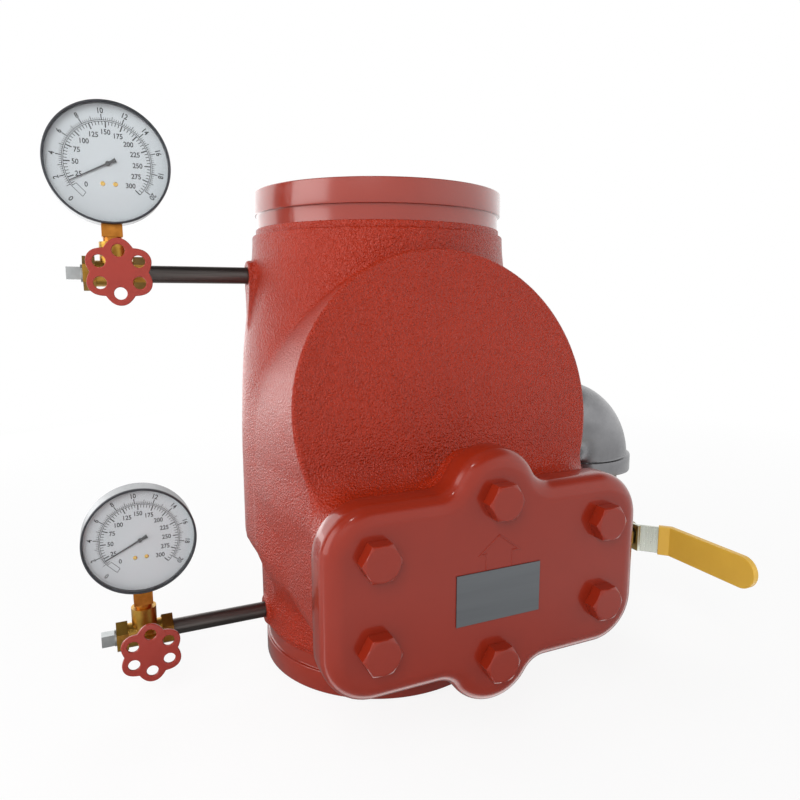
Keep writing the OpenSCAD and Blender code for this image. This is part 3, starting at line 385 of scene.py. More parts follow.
def piece(
    name: str,
    points: Array,
    faces: Sequence,
    finish: Finish,
    body: str,
    stands_for: Sequence[str] = (),
    sharp_deg: float = 32.0,
) -> bpy.types.Object:
    """Makes one finished piece from points in millimetres.

    Args:
        name: the piece's name.
        points: one row of X, Y and Z for each point.
        faces: the corners of each face, turning left seen from outside.
        finish: its surface.
        body: the CAD body that it moves with.
        stands_for: the CAD nodes that it takes the place of.
        sharp_deg: edges bent more than this stay sharp.

    Returns:
        The object, riding on its body.
    """
    mesh = bpy.data.meshes.new(name)
    mesh.from_pydata((np.asarray(points, float) * MM).tolist(), [], [list(map(int, f)) for f in faces])
    mesh.update()
    mesh.shade_smooth()
    mesh.set_sharp_from_angle(angle=math.radians(sharp_deg))
    made = bpy.data.objects.new(name, mesh)
    bpy.context.scene.collection.objects.link(made)
    return settle_in(made, finish, body, stands_for)


def settle_in(
    made: bpy.types.Object, finish: Finish, body: str, stands_for: Sequence[str] = ()
) -> bpy.types.Object:
    """Gives a piece its finish and its place among the bodies.

    Args:
        made: the piece, with its place in its mesh.
        finish: its surface.
        body: the CAD body that it moves with.
        stands_for: the CAD nodes that it takes the place of.

    Returns:
        The same object.
    """
    made.data.materials.clear()
    made.data.materials.append(finish.material())
    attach(made, body)
    if stands_for:
        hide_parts(*stands_for)
    log.info("%s: %d faces, %s", made.name, len(made.data.polygons), finish.name)
    return made


def dress(finish: Finish, *nodes: str) -> None:
    """Gives CAD nodes that stay as they are their finish.

    Args:
        finish: the surface.
        nodes: the CAD nodes.
    """
    for name in nodes:
        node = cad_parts[name]
        node.data.materials.clear()
        node.data.materials.append(finish.material())
        log.info("%s: the CAD node in %s", name, finish.name)


def applied(made: bpy.types.Object) -> bpy.types.Mesh:
    """Gives a piece the mesh that its modifiers make, and takes them off.

    Args:
        made: the piece.

    Returns:
        Its new mesh.
    """
    mesh = bpy.data.meshes.new_from_object(made.evaluated_get(bpy.context.evaluated_depsgraph_get()))
    made.modifiers.clear()
    made.data = mesh
    mesh.name = made.name
    return mesh


def softened(
    node: str, finish: Finish, body: str, edge_mm: float, steps: int = 2, angle_deg: float = 32.0
) -> bpy.types.Object:
    """Stands in for a CAD node by a merged copy whose edges are broken.

    Args:
        node: the CAD node.
        finish: its surface.
        body: the CAD body that it moves with.
        edge_mm: width of the broken edges.
        steps: number of faces across a broken edge.
        angle_deg: edges bent more than this are broken.

    Returns:
        The copy.
    """
    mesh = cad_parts[node].data.copy()
    mesh.attributes.remove(mesh.attributes["custom_normal"])
    made = bpy.data.objects.new(node + "_finished", mesh)
    bpy.context.scene.collection.objects.link(made)
    weld = made.modifiers.new("weld", "WELD")
    weld.merge_threshold = 0.002 * MM
    flat = made.modifiers.new("flat", "DECIMATE")
    flat.decimate_type = "DISSOLVE"
    flat.angle_limit = math.radians(0.6)
    merged = applied(made)
    merged.shade_smooth()
    merged.set_sharp_from_angle(angle=math.radians(angle_deg))
    edge = made.modifiers.new("edge", "BEVEL")
    edge.width = edge_mm * MM
    edge.segments = steps
    edge.limit_method = "ANGLE"
    edge.angle_limit = math.radians(angle_deg)
    edge.harden_normals = True
    edge.use_clamp_overlap = True
    return settle_in(made, finish, body, [node])


def ring_faces(rows: int, columns: int, closed: bool = False) -> Array:
    """Quads of a grid of rings, each ring closed on itself.

    Args:
        rows: number of rings.
        columns: points in a ring.
        closed: whether the last ring joins the first.

    Returns:
        The four corners of each face.
    """
    row = np.arange(rows if closed else rows - 1)[:, None]
    column = np.arange(columns)[None, :]
    beside = (column + 1) % columns
    first, second = row * columns, (row + 1) % rows * columns
    corners = [first + column, first + beside, second + beside, second + column]
    return np.stack(corners, axis=-1).reshape(-1, 4)


def placed(x: Array, y: Array, z: Array) -> Array:
    """Points from their places along each axis, which are arrays that fit together or numbers."""
    return np.stack(np.broadcast_arrays(x, y, z), axis=-1)


def gathered(shapes: Sequence) -> tuple[Array, list]:
    """Several shapes as one.

    Args:
        shapes: the points and the faces of each.

    Returns:
        All points in a row, and all faces with their corners counted on.
    """
    starts = np.cumsum([0] + [len(points) for points, _ in shapes])
    faces = [[c + start for c in face] for (_, each), start in zip(shapes, starts) for face in each]
    return np.concatenate([points for points, _ in shapes]), faces


def loft(rings: Array, closed: bool = False) -> tuple[Array, list]:
    """A surface through rings, with a flat face on each end unless it closes on itself.

    Args:
        rings: rows of rings of points, each ring turning left seen along the rows.
        closed: whether the last ring joins the first.

    Returns:
        The points and the faces.
    """
    rows, columns = rings.shape[:2]
    faces = ring_faces(rows, columns, closed).tolist()
    if not closed:
        faces.append(list(range(columns))[::-1])
        faces.append([(rows - 1) * columns + i for i in range(columns)])
    return rings.reshape(-1, 3), faces


def turned(profile: Sequence, columns: int = 128, closed: bool = True) -> tuple[Array, list]:
    """A profile turned about Z: X and Y are its radius times the cosine and sine of the angle.

    Args:
        profile: radius and height of each corner, up the outside and down the inside.
        columns: points round the axis.
        closed: whether the profile joins up with itself.

    Returns:
        The points and the faces.
    """
    radius, height = np.asarray(profile, float).T
    angle = np.linspace(0, 2 * np.pi, columns, endpoint=False)
    across, back = radius[:, None] * np.cos(angle), radius[:, None] * np.sin(angle)
    rings = placed(across, back, height[:, None])
    return loft(rings, closed)


def rounded(corners: Sequence, radii: Sequence, steps: int = 4) -> Array:
    """A closed outline with arcs in place of its corners.

    Each arc touches both sides of its corner: its ends lie radius / tan(half the angle) from it.

    Args:
        corners: the corners in order.
        radii: the radius at each corner, zero for a sharp one.
        steps: sides of each arc.

    Returns:
        The outline's points.
    """
    out = []
    count = len(corners)
    for i in range(count):
        here, before, after = (np.asarray(corners[j % count], float) for j in (i, i - 1, i + 1))
        if radii[i] <= 0:
            out.append(here)
            continue
        a = (before - here) / np.linalg.norm(before - here)
        b = (after - here) / np.linalg.norm(after - here)
        half = math.acos(np.clip(a @ b, -1, 1)) / 2
        middle = here + (a + b) / np.linalg.norm(a + b) * radii[i] / math.sin(half)
        start = here + a * radii[i] / math.tan(half) - middle
        end = here + b * radii[i] / math.tan(half) - middle
        sweep = math.acos(np.clip(start @ end / radii[i] ** 2, -1, 1))
        t = np.linspace(0, 1, steps + 1)[:, None]
        out.extend(middle + (start * np.sin((1 - t) * sweep) + end * np.sin(t * sweep)) / math.sin(sweep))
    return np.asarray(out)


# Solids as distance fields, negative inside


def join(a: Array, b: Array, fillet: float) -> Array:
    """Two solids as one, with a round fillet: the distance from the fillet's own centre."""
    inner = np.hypot(np.maximum(fillet - a, 0), np.maximum(fillet - b, 0))
    return np.maximum(fillet, np.minimum(a, b)) - inner


def meet(a: Array, b: Array, edge: float) -> Array:
    """What two solids share, with its edge rounded."""
    outer = np.hypot(np.maximum(edge + a, 0), np.maximum(edge + b, 0))
    return np.minimum(-edge, np.maximum(a, b)) + outer


def box_outline(u: Array, v: Array, half_u: float, half_v: float, corner: float) -> Array:
    """Distance to a rectangle with round corners about the origin."""
    du = np.abs(u) - (half_u - corner)
    dv = np.abs(v) - (half_v - corner)
    return np.hypot(np.maximum(du, 0), np.maximum(dv, 0)) + np.minimum(np.maximum(du, dv), 0) - corner


def wall_line(z: Array, knots: Sequence) -> tuple[Array, Array]:
    """A wall's radius up its height: straight runs joined by parabolas.

    Args:
        z: the heights.
        knots: height, radius and half the length of the easing at each bend.

    Returns:
        The radius and its slope.
    """
    slopes = [(b[1] - a[1]) / (b[0] - a[0]) for a, b in zip(knots, knots[1:])]
    radius = knots[0][1] + slopes[0] * (z - knots[0][0])
    slope = np.full_like(z, slopes[0])
    for knot, before, after in zip(knots[1:-1], slopes, slopes[1:]):
        t = np.clip((z - knot[0] + knot[2]) / (2 * knot[2]), 0, 1)
        ease = np.where(t < 1, knot[2] * t**2, z - knot[0])
        radius = radius + (after - before) * ease
        slope = slope + (after - before) * t
    return radius, slope


def gradient(field: Field, points: Array, reach: float = 0.04) -> Array:
    """Slope of a field at points, from its values a little to both sides.

    Args:
        field: the distance field.
        points: the points.
        reach: how far to each side.

    Returns:
        The slope along each axis.
    """
    out = np.empty_like(points)
    for axis in range(3):
        step = np.zeros(3)
        step[axis] = reach
        out[:, axis] = (field(*(points + step).T) - field(*(points - step).T)) / (2 * reach)
    return out


def onto(field: Field, points: Array, steps: int, most: float) -> Array:
    """Moves points down a field's slope until they lie on its surface.

    Args:
        field: the distance field.
        points: points near the surface.
        steps: number of moves.
        most: longest single move.

    Returns:
        The moved points.
    """
    for _ in range(steps):
        slope = gradient(field, points)
        move = (field(*points.T) / np.maximum((slope**2).sum(1), 0.2))[:, None] * slope
        length = np.linalg.norm(move, axis=1, keepdims=True)
        points = points - move * np.minimum(1, most / np.maximum(length, 1e-9))
    return points


def surface_net(field: Field, low: Sequence, high: Sequence, cell: float) -> tuple[Array, Array]:
    """The surface where a field is zero, one point for each grid cell that it crosses.

    Each point is the mean of the crossings on its cell's twelve edges, and each grid edge
    that changes sign gives a quad of the four cells around it.

    Args:
        field: the distance field.
        low: lowest corner of the grid.
        high: highest corner of the grid.
        cell: side of a grid cell.

    Returns:
        The points and the quads.
    """
    axes = [np.arange(a, b + cell, cell) for a, b in zip(low, high)]
    x, y = axes[0][:, None, None], axes[1][None, :, None]
    slabs = np.array_split(axes[2], max(1, len(axes[2]) // 16))
    values = np.concatenate([field(x, y, slab[None, None, :]) for slab in slabs], axis=2)
    inside = values < 0
    shape = tuple(n - 1 for n in inside.shape)
    corners = np.array([(i, j, k) for i in (0, 1) for j in (0, 1) for k in (0, 1)])
    count = np.zeros(shape, np.int8)
    for i, j, k in corners:
        count += inside[i : shape[0] + i, j : shape[1] + j, k : shape[2] + k]
    cells = np.argwhere((count > 0) & (count < 8))
    index = np.full(shape, -1, np.int32)
    index[tuple(cells.T)] = np.arange(len(cells))
    at_corner = np.stack([values[tuple((cells + c).T)] for c in corners], axis=1)
    total = np.zeros((len(cells), 3))
    hits = np.zeros((len(cells), 1))
    for a in range(8):
        for b in range(a + 1, 8):
            if np.abs(corners[a] - corners[b]).sum() != 1:
                continue
            first, second = at_corner[:, a : a + 1], at_corner[:, b : b + 1]
            crossed = (first < 0) != (second < 0)
            t = np.where(crossed, first / np.where(crossed, first - second, 1), 0)
            total += np.where(crossed, corners[a] + (corners[b] - corners[a]) * t, 0)
            hits += crossed
    points = np.asarray(low) + (cells + total / hits) * cell
    quads = []
    for axis in range(3):
        u, v = (axis + 1) % 3, (axis + 2) % 3
        lower = np.moveaxis(inside, axis, 0)[:-1]
        upper = np.moveaxis(inside, axis, 0)[1:]
        edges = np.moveaxis(lower != upper, 0, axis)
        at = np.argwhere(edges)
        leaving = np.moveaxis(lower, 0, axis)[tuple(at.T)]
        step_u, step_v = np.eye(3, dtype=int)[u], np.eye(3, dtype=int)[v]
        around = [at - step_u - step_v, at - step_v, at, at - step_u]
        quad = np.stack([index[tuple(c.T)] for c in around], axis=1)
        quad[~leaving] = quad[~leaving][:, ::-1]
        quads.append(quad)
    return points, np.concatenate(quads)


def cast_piece(
    name: str,
    field: Field,
    low: Sequence,
    high: Sequence,
    cell: float,
    most_triangles: int,
    finish: Finish,
    body: str,
    stands_for: Sequence[str],
) -> bpy.types.Object:
    """Makes a piece from a distance field, thinned where it is flat and shaded by the field's slope.

    Args:
        name: the piece's name.
        field: its distance field.
        low: lowest corner of its grid.
        high: highest corner of its grid.
        cell: side of a grid cell.
        most_triangles: number of triangles to thin it to.
        finish: its surface.
        body: the CAD body that it moves with.
        stands_for: the CAD nodes that it takes the place of.

    Returns:
        The piece.
    """
    points, quads = surface_net(field, low, high, cell)
    points = onto(field, points, 2, cell / 2)
    made = piece(name, points, quads, finish, body, stands_for)
    share = most_triangles / (2 * len(quads))
    if share < 1:
        thin = made.modifiers.new("thin", "DECIMATE")
        thin.ratio = share
        applied(made)
    mesh = made.data
    flat = np.empty(len(mesh.vertices) * 3)
    mesh.vertices.foreach_get("co", flat)
    points = onto(field, flat.reshape(-1, 3) / MM, 2, cell / 4)
    mesh.vertices.foreach_set("co", (points * MM).ravel())
    slope = gradient(field, points)
    slope /= np.maximum(np.linalg.norm(slope, axis=1, keepdims=True), 1e-9)
    mesh.update()
    mesh.shade_smooth()
    mesh.normals_split_custom_set_from_vertices(slope.tolist())
    log.info("%s: thinned to %d faces", name, len(mesh.polygons))
    return made


@dataclass
class CoverOutline:
    """Outline of the access cover: a rectangle with round corners and two lobes."""

    half_w: float = 124.0
    half_h: float = 65.5
    middle_z: float = 139.5
    corner: float = 35.0
    lobe_r: float = 34.0
    hollow_r: float = 17.0
    bolt_z: float = 141.5
    lobe_rise: float = 57.0
    bolt_x: float = 88.7
    bolt_rise: float = 30.4

    def bolt_places(self) -> list:
        """X and Z of the six bolts."""
        rises = (self.bolt_rise, -self.bolt_rise)
        sides = [(x, self.bolt_z + rise) for x in (-self.bolt_x, self.bolt_x) for rise in rises]
        return sides + [(0.0, self.bolt_z + self.lobe_rise), (0.0, self.bolt_z - self.lobe_rise)]

    def lobe_height(self, side: int) -> float:
        """Height of a lobe's centre above the middle, counted toward its own side."""
        return self.lobe_rise + side * (self.bolt_z - self.middle_z)

    def hollow_x(self, side: int) -> float:
        """Half the distance between the hollows beside a lobe."""
        drop = self.half_h + self.hollow_r - self.lobe_height(side)
        return math.sqrt((self.lobe_r + self.hollow_r) ** 2 - drop**2)

    def distance(self, x: Array, z: Array) -> Array:
        """Distance to the outline in the plane of the cover.

        Beside a lobe, between the two points where the hollow's arc touches, it is the
        hollow's radius less the distance from its centre.

        Args:
            x: places across.
            z: heights.

        Returns:
            The distance, negative inside.
        """
        u = np.abs(x)
        out = box_outline(x, z - self.middle_z, self.half_w, self.half_h, self.corner)
        for side in (1, -1):
            v = side * (z - self.middle_z)
            top = self.lobe_height(side)
            out = np.minimum(out, np.hypot(u, v - top) - self.lobe_r)
            across, up = u - self.hollow_x(side), v - self.half_h - self.hollow_r
            toward_x = -self.hollow_x(side)
            toward_z = top - self.half_h - self.hollow_r
            between = (v > 0) & (across <= 0) & (toward_x * up - toward_z * across >= 0)
            out = np.where(between, self.hollow_r - np.hypot(across, up), out)
        return out

    def ring(self, inset: float) -> Array:
        """The outline drawn smaller by an inset, turning left seen from the front.

        Args:
            inset: how far it is drawn in all round.

        Returns:
            Rows of X and Z.
        """
        parts = []
        quarter = math.pi / 2
        for side in (1, -1):
            start = 0.0 if side > 0 else math.pi
            x, hollow = side * (self.half_w - self.corner), side * self.hollow_x(side)
            rise, lobe = self.half_h + self.hollow_r, self.lobe_height(side)
            z, hollow_z, lobe_z = (
                self.middle_z + side * up for up in (self.half_h - self.corner, rise, lobe)
            )
            lean = math.atan2(rise - lobe, abs(hollow))
            corner, dent, top = self.corner - inset, self.hollow_r + inset, self.lobe_r - inset
            parts += [
                self.arc(x, z, corner, start, quarter, 14),
                self.arc(hollow, hollow_z, dent, start - quarter, lean - quarter, 10),
                self.arc(0, lobe_z, top, start + lean, math.pi - 2 * lean, 26)[1:-1],
                self.arc(-hollow, hollow_z, dent, start - lean, lean - quarter, 10),
                self.arc(-x, z, corner, start + quarter, quarter, 14),
            ]
        return np.concatenate(parts)

    @staticmethod
    def arc(x: float, z: float, radius: float, start: float, sweep: float, steps: int) -> Array:
        """Points along an arc."""
        angle = start + sweep * np.linspace(0, 1, steps + 1)
        return np.stack([x + radius * np.cos(angle), z + radius * np.sin(angle)], axis=1)


@dataclass(frozen=True)
class Tap:
    """A gauge tap of the casting; its face and its depths are distances from the riser's axis."""

    z: float
    face: float
    rib: float
    fillet: float
    thread_end: float
    boss_r: float = 12.35
    rib_r: float = 2.0
    thread_r: float = 6.85
    bore_r: float = 4.6
    depth: float = 95.0
    edge: float = 1.6

    def boss(self, x: Array, y: Array, z: Array) -> Array:
        """Distance to the boss, with the rib that narrows as it runs down from it.

        Args:
            x, y, z: the places.

        Returns:
            The distance, negative inside.
        """
        t = np.clip((self.z - z) / self.rib, 0, 1) if self.rib else np.zeros_like(z)
        across = np.hypot(y, z - self.z + t * self.rib) - (self.boss_r - t * (self.boss_r - self.rib_r))
        return meet(across, -x - self.face, self.edge) + np.where(x > 0, 50, 0)

    def drill(self, x: Array, y: Array, z: Array) -> Array:
        """Distance to the drilled and threaded hole."""
        across = np.hypot(y, z - self.z) - np.where(x < -self.thread_end, self.thread_r, self.bore_r)
        return np.maximum(across, x + self.depth)


@dataclass
class Casting:
    """The body: barrel, leaning clapper chamber, neck with its flange, taps and drain boss.

    Depths, reaches and faces are distances from the riser's axis. A size in threes is half the
    width, half the height and the corner's radius.
    """

    outline: CoverOutline
    edge: float = 1.6
    fillet: float = 6.0
    # Barrel and grooved ends
    height: float = 420.6
    pipe_r: float = 109.55
    groove_r: float = 107.2
    band_r: float = 108.4
    waterway_r: float = 100.0
    land: float = 19.05
    groove_w: float = 11.9
    band_h: float = 5.3
    band_gap: float = 0.4
    tongue_r: float = 101.5
    tongue: float = 4.0
    overlap: float = 0.5
    end_columns: int = 192
    # Clapper chamber and the flanks that run back from it
    face_z: float = 248.0
    face_reach: float = 145.0
    face_lean_deg: float = 10.0
    face_wall: float = 8.0
    chamber_r: float = 122.5
    chamber_depth: float = 130.0
    chamber_edge: float = 2.2
    chamber_fillet: float = 3.0
    flank_low: float = 120.0
    flank_top: float = 205.0
    flank_fade: float = 62.0
    flank_back: float = 4.0
    flank_sunk: float = 0.6
    flank_drawn_in: float = 0.5
    flank_square: float = 0.96
    # Neck, flange and the opening under the cover
    neck_inset: tuple = (10.0, 8.0)
    neck_short: float = 5.0
    neck_root: float = 40.0
    neck_fillet: float = 22.0
    flange_face: float = 185.5
    flange_t: float = 22.0
    flange_inset: float = 8.0
    way_z: float = 143.0
    way_size: tuple = (105.0, 45.0, 18.0)
    way_depth: float = 60.0
    hatch_size: tuple = (73.95, 43.45, 16.0)
    slot_size: tuple = (104.0, 16.95, 12.0)
    hatch_depth: float = 150.0
    mouth_edge: float = 1.2
    bolt_hole_r: float = 7.95
    bolt_hole_depth: float = 167.5
    past_front: float = 200.0
    # Drain boss and gauge taps
    drain_y: float = -60.0
    drain_z: float = 215.0
    drain_face: float = 128.0
    drain_boss_r: float = 42.15
    drain_boss_root: float = 60.0
    drain_thread_r: float = 30.15
    drain_thread_end: float = 116.0
    drain_bore_r: float = 26.0
    drain_depth: float = 80.0
    taps: tuple = (
        Tap(z=350.0, face=120.0, rib=42.0, fillet=4.0, thread_end=110.0),
        Tap(z=49.5, face=114.0, rib=0.0, fillet=3.0, thread_end=104.0),
    )
    # Room inside, with the clapper's shelf and hinge lugs
    pocket_r: float = 104.0
    pocket_z: float = 84.0
    floor_z: float = 98.0
    room_fillet: float = 3.0
    hinge_y: float = -134.0
    hinge_z: float = 124.2
    lug_r: float = 14.0
    lug_x: float = 47.0
    lug_half: float = 7.0
    lug_sunk: float = 2.0
    lug_fillet: float = 2.5
    pin_hole_r: float = 6.0
    # Grid that its surface is found on
    cell: float = 1.7
    grid: tuple = ((-134, -190, 30), (134, 132, 390))
    most_triangles: int = 190000

    @property
    def foot_z(self) -> float:
        """Height where the casting stands on its lower grooved end."""
        return self.land + self.groove_w + self.band_h

    def knots(self, inner: bool) -> list:
        """Bends of the barrel's wall.

        Args:
            inner: whether it is the wall's inside.

        Returns:
            Height, radius and half the length of the easing at each bend.
        """
        if inner:
            return [
                (36, 106, 1), (98, 106, 2), (118.5, 117.5, 5), (205, 117.5, 10),
                (285, 113.5, 12), (375, 100, 2), (400, 96.2, 1),
            ]
        return [
            (20, 112, 1), (92.5, 112.5, 2.5), (118.5, 126.5, 5), (205, 126.5, 12),
            (250, 124.9, 15), (285, 122.7, 14), (372, 112, 6), (400, 111, 1),
        ]

    def barrel(self, x: Array, y: Array, z: Array, inner: bool) -> Array:
        """Distance to the barrel's wall, measured square to it."""
        radius, slope = wall_line(z, self.knots(inner))
        return (np.hypot(x, y) - radius) / np.sqrt(1 + slope**2)

    def chamber(self, x: Array, y: Array, z: Array, radius: float, near: float, edge: float) -> Array:
        """Distance to a drum whose face leans back.

        Args:
            x, y, z: the places.
            radius: the drum's radius.
            near: depth of its face behind the casting's own.
            edge: rounding of its rim.

        Returns:
            The distance, negative inside.
        """
        lean = math.radians(self.face_lean_deg)
        forward, up = y + self.face_reach, z - self.face_z
        out = -forward * math.cos(lean) + up * math.sin(lean)
        rise = forward * math.sin(lean) + up * math.cos(lean)
        ends = np.maximum(out + near, -out - self.chamber_depth)
        return meet(np.hypot(x, rise) - radius, ends, edge)

    def flank(self, x: Array, y: Array, z: Array) -> Array:
        """Distance to the swept sides that run from the drum's lower half back to the barrel.

        Each side is a straight line in plan, from the drum's own half width at its face to the
        barrel's radius beside the axis. It fades into the drum above the middle of the face. Its
        sides lean, so a distance square to them is a little less than one across.

        Args:
            x, y, z: the places.

        Returns:
            The distance, negative inside.
        """
        lean = math.radians(self.face_lean_deg)
        forward, up = y + self.face_reach, z - self.face_z
        face = -self.face_reach + up * math.tan(lean)
        rise = forward * math.sin(lean) + up * math.cos(lean)
        front = np.sqrt(np.maximum(self.chamber_r**2 - rise**2, 0))
        back = wall_line(z, self.knots(False))[0] - self.flank_sunk
        fade = np.clip((self.flank_top + self.flank_fade - z) / self.flank_fade, 0, 1)
        fade = fade * fade * (3 - 2 * fade)
        along = np.clip((y - face) / (-face), 0, 1)
        half = front + fade * np.maximum(back - front, 0) * along - (1 - fade) * self.flank_drawn_in
        sides = (np.abs(x) - half) * self.flank_square
        rim = -forward * math.cos(lean) + up * math.sin(lean)
        ends = np.maximum(y - self.flank_back, self.flank_low - z)
        ends = np.maximum(ends, z - self.flank_top - self.flank_fade)
        return np.maximum(meet(sides, rim, 2.0), ends)

    def neck(self, x: Array, y: Array, z: Array) -> Array:
        """Distance to the neck behind the flange, whose outline is the cover's drawn in.

        Args:
            x, y, z: the places.

        Returns:
            The distance, negative inside.
        """
        cover, (aside, down) = self.outline, self.neck_inset
        half_w, half_h, corner = cover.half_w - aside, cover.half_h - down, cover.corner - down
        sides = box_outline(x, z - cover.middle_z, half_w, half_h, corner)
        end = -y - self.flange_face + self.neck_short
        return np.maximum(sides, np.maximum(y + self.neck_root, end))

    def flange(self, x: Array, y: Array, z: Array) -> Array:
        """Distance to the flange that the cover is bolted to."""
        middle = self.flange_face - self.flange_t / 2
        sheet = np.abs(y + middle) - self.flange_t / 2
        return meet(self.outline.distance(x, z) + self.flange_inset, sheet, self.edge)

    def drain_boss(self, x: Array, y: Array, z: Array) -> Array:
        """Distance to the round boss of the drain."""
        across = np.hypot(y - self.drain_y, z - self.drain_z) - self.drain_boss_r
        return meet(across, np.maximum(x - self.drain_face, self.drain_boss_root - x), 2.0)

    def outside(self, x: Array, y: Array, z: Array) -> Array:
        """Distance to the casting without its hollows.

        Args:
            x, y, z: the places.

        Returns:
            The distance, negative inside.
        """
        top = self.height - self.foot_z
        solid = meet(self.barrel(x, y, z, False), np.maximum(z - top, self.foot_z - z), self.edge)
        drum = self.chamber(x, y, z, self.chamber_r, 0, self.chamber_edge)
        solid = join(solid, np.minimum(drum, self.flank(x, y, z)), self.chamber_fillet)
        solid = join(solid, self.neck(x, y, z), self.neck_fillet)
        solid = join(solid, self.flange(x, y, z), self.fillet)
        for tap in self.taps:
            solid = join(solid, tap.boss(x, y, z), tap.fillet)
        return join(solid, self.drain_boss(x, y, z), self.fillet)

    def opening(self, x: Array, y: Array, z: Array) -> Array:
        """Distance to the opening under the cover: a rectangle with a wider slot at mid height."""
        hatch = box_outline(x, z - self.outline.bolt_z, *self.hatch_size)
        slot = box_outline(x, z - self.outline.bolt_z, *self.slot_size)
        return np.maximum(join(hatch, slot, 2.0), np.maximum(y + self.hatch_depth, -y - self.past_front))

    def bolt_holes(self, x: Array, y: Array, z: Array) -> Array:
        """Distance to the cover's bolt holes, which lie alike on all sides of its middle.

        Args:
            x, y, z: the places.

        Returns:
            The distance, negative inside.
        """
        cover, row = self.outline, np.abs(z - self.outline.bolt_z)
        side = np.hypot(np.abs(x) - cover.bolt_x, row - cover.bolt_rise)
        across = np.minimum(side, np.hypot(x, row - cover.lobe_rise)) - self.bolt_hole_r
        return np.maximum(across, np.maximum(y + self.bolt_hole_depth, -y - self.past_front))

    def drain_hole(self, x: Array, y: Array, z: Array) -> Array:
        """Distance to the drain's hole, wider where it is threaded."""
        radius = np.where(x > self.drain_thread_end, self.drain_thread_r, self.drain_bore_r)
        return np.maximum(np.hypot(y - self.drain_y, z - self.drain_z) - radius, self.drain_depth - x)

    def hollow(self, x: Array, y: Array, z: Array) -> Array:
        """Distance to the waterway, the chamber, the way in and the drilled ports.

        Args:
            x, y, z: the places.

        Returns:
            The distance, negative inside.
        """
        across = np.hypot(x, y)
        upper = np.maximum(self.barrel(x, y, z, True), self.floor_z - z)
        pocket = np.maximum(across - self.pocket_r, self.pocket_z - z)
        pocket = np.maximum(pocket, z - self.floor_z - self.overlap)
        bore = np.minimum(np.minimum(across - self.waterway_r, pocket), upper)
        room = self.chamber(x, y, z, self.chamber_r - self.face_wall, self.face_wall, 4.0)
        bore = join(bore, np.maximum(room, self.floor_z - z), self.room_fillet)
        way = box_outline(x, z - self.way_z, *self.way_size)
        way = np.maximum(way, np.maximum(y + self.way_depth, -y - self.flange_face + self.flange_t))
        bore = join(bore, way, self.room_fillet)
        bore = join(bore, self.opening(x, y, z), 1.5)
        bore = np.minimum(bore, self.drain_hole(x, y, z))
        for tap in self.taps:
            bore = np.minimum(bore, tap.drill(x, y, z))
        return np.minimum(bore, self.bolt_holes(x, y, z))

    def lugs(self, x: Array, y: Array, z: Array) -> Array:
        """Distance to the two hinge lugs on the shelf beside the seat.

        Args:
            x, y, z: the places.

        Returns:
            The distance, negative inside.
        """
        along, up = y - self.hinge_y, z - self.hinge_z
        eye = np.hypot(along, up)
        foot = np.maximum(np.abs(along) - self.lug_r, np.maximum(up, self.floor_z - self.lug_sunk - z))
        plate = np.abs(np.abs(x) - self.lug_x) - self.lug_half
        solid = meet(np.minimum(eye - self.lug_r, foot), plate, 0.8)
        return np.maximum(solid, self.pin_hole_r - eye)

    def field(self, x: Array, y: Array, z: Array) -> Array:
        """Distance to the whole casting between its two grooved ends."""
        solid = meet(self.outside(x, y, z), -self.hollow(x, y, z), self.mouth_edge)
        return join(solid, self.lugs(x, y, z), self.lug_fillet)

    def end_profile(self) -> Array:
        """Section of a grooved end, with broken edges.

        Returns:
            Radius and height above its end face.
        """
        end = self.land + self.groove_w + self.overlap
        corners = [
            (self.waterway_r, 0), (self.pipe_r, 0), (self.pipe_r, self.land),
            (self.groove_r, self.land), (self.groove_r, end), (self.waterway_r, end),
        ]
        return rounded(corners, [0.8, 1.0, 0.6, 0.5, 0, 0], 3)

    def band_profile(self) -> Array:
        """Section of the cast band beside a groove, with a tongue inside the casting's wall.

        Returns:
            Radius and height above its end face.
        """
        root = self.land + self.groove_w
        end, shelf = self.foot_z + self.tongue, self.foot_z - self.band_gap
        corners = [
            (self.waterway_r, root), (self.band_r, root), (self.band_r, end), (self.tongue_r, end),
            (self.tongue_r, shelf), (self.waterway_r, shelf),
        ]
        return rounded(corners, [0, 0.8, 0, 0, 0, 0], 3)

    def build(self) -> None:
        """Makes the casting and its two turned ends."""
        cell = self.cell * 1
        cast_piece("casting", self.field, *self.grid, cell, self.most_triangles, CAST_RED, "valve", ["body"])
        ends = ("grooved_end", self.end_profile(), TURNED_RED)
        bands = ("cast_band", self.band_profile(), CAST_RED)
        for name, profile, finish in (ends, bands):
            points, faces = turned(profile, self.end_columns)
            piece("lower_" + name, points, faces, finish, "valve", ["body"])
            flipped = points * (1, 1, -1) + (0, 0, self.height)
            piece("upper_" + name, flipped, [f[::-1] for f in faces], finish, "valve", ["body"])


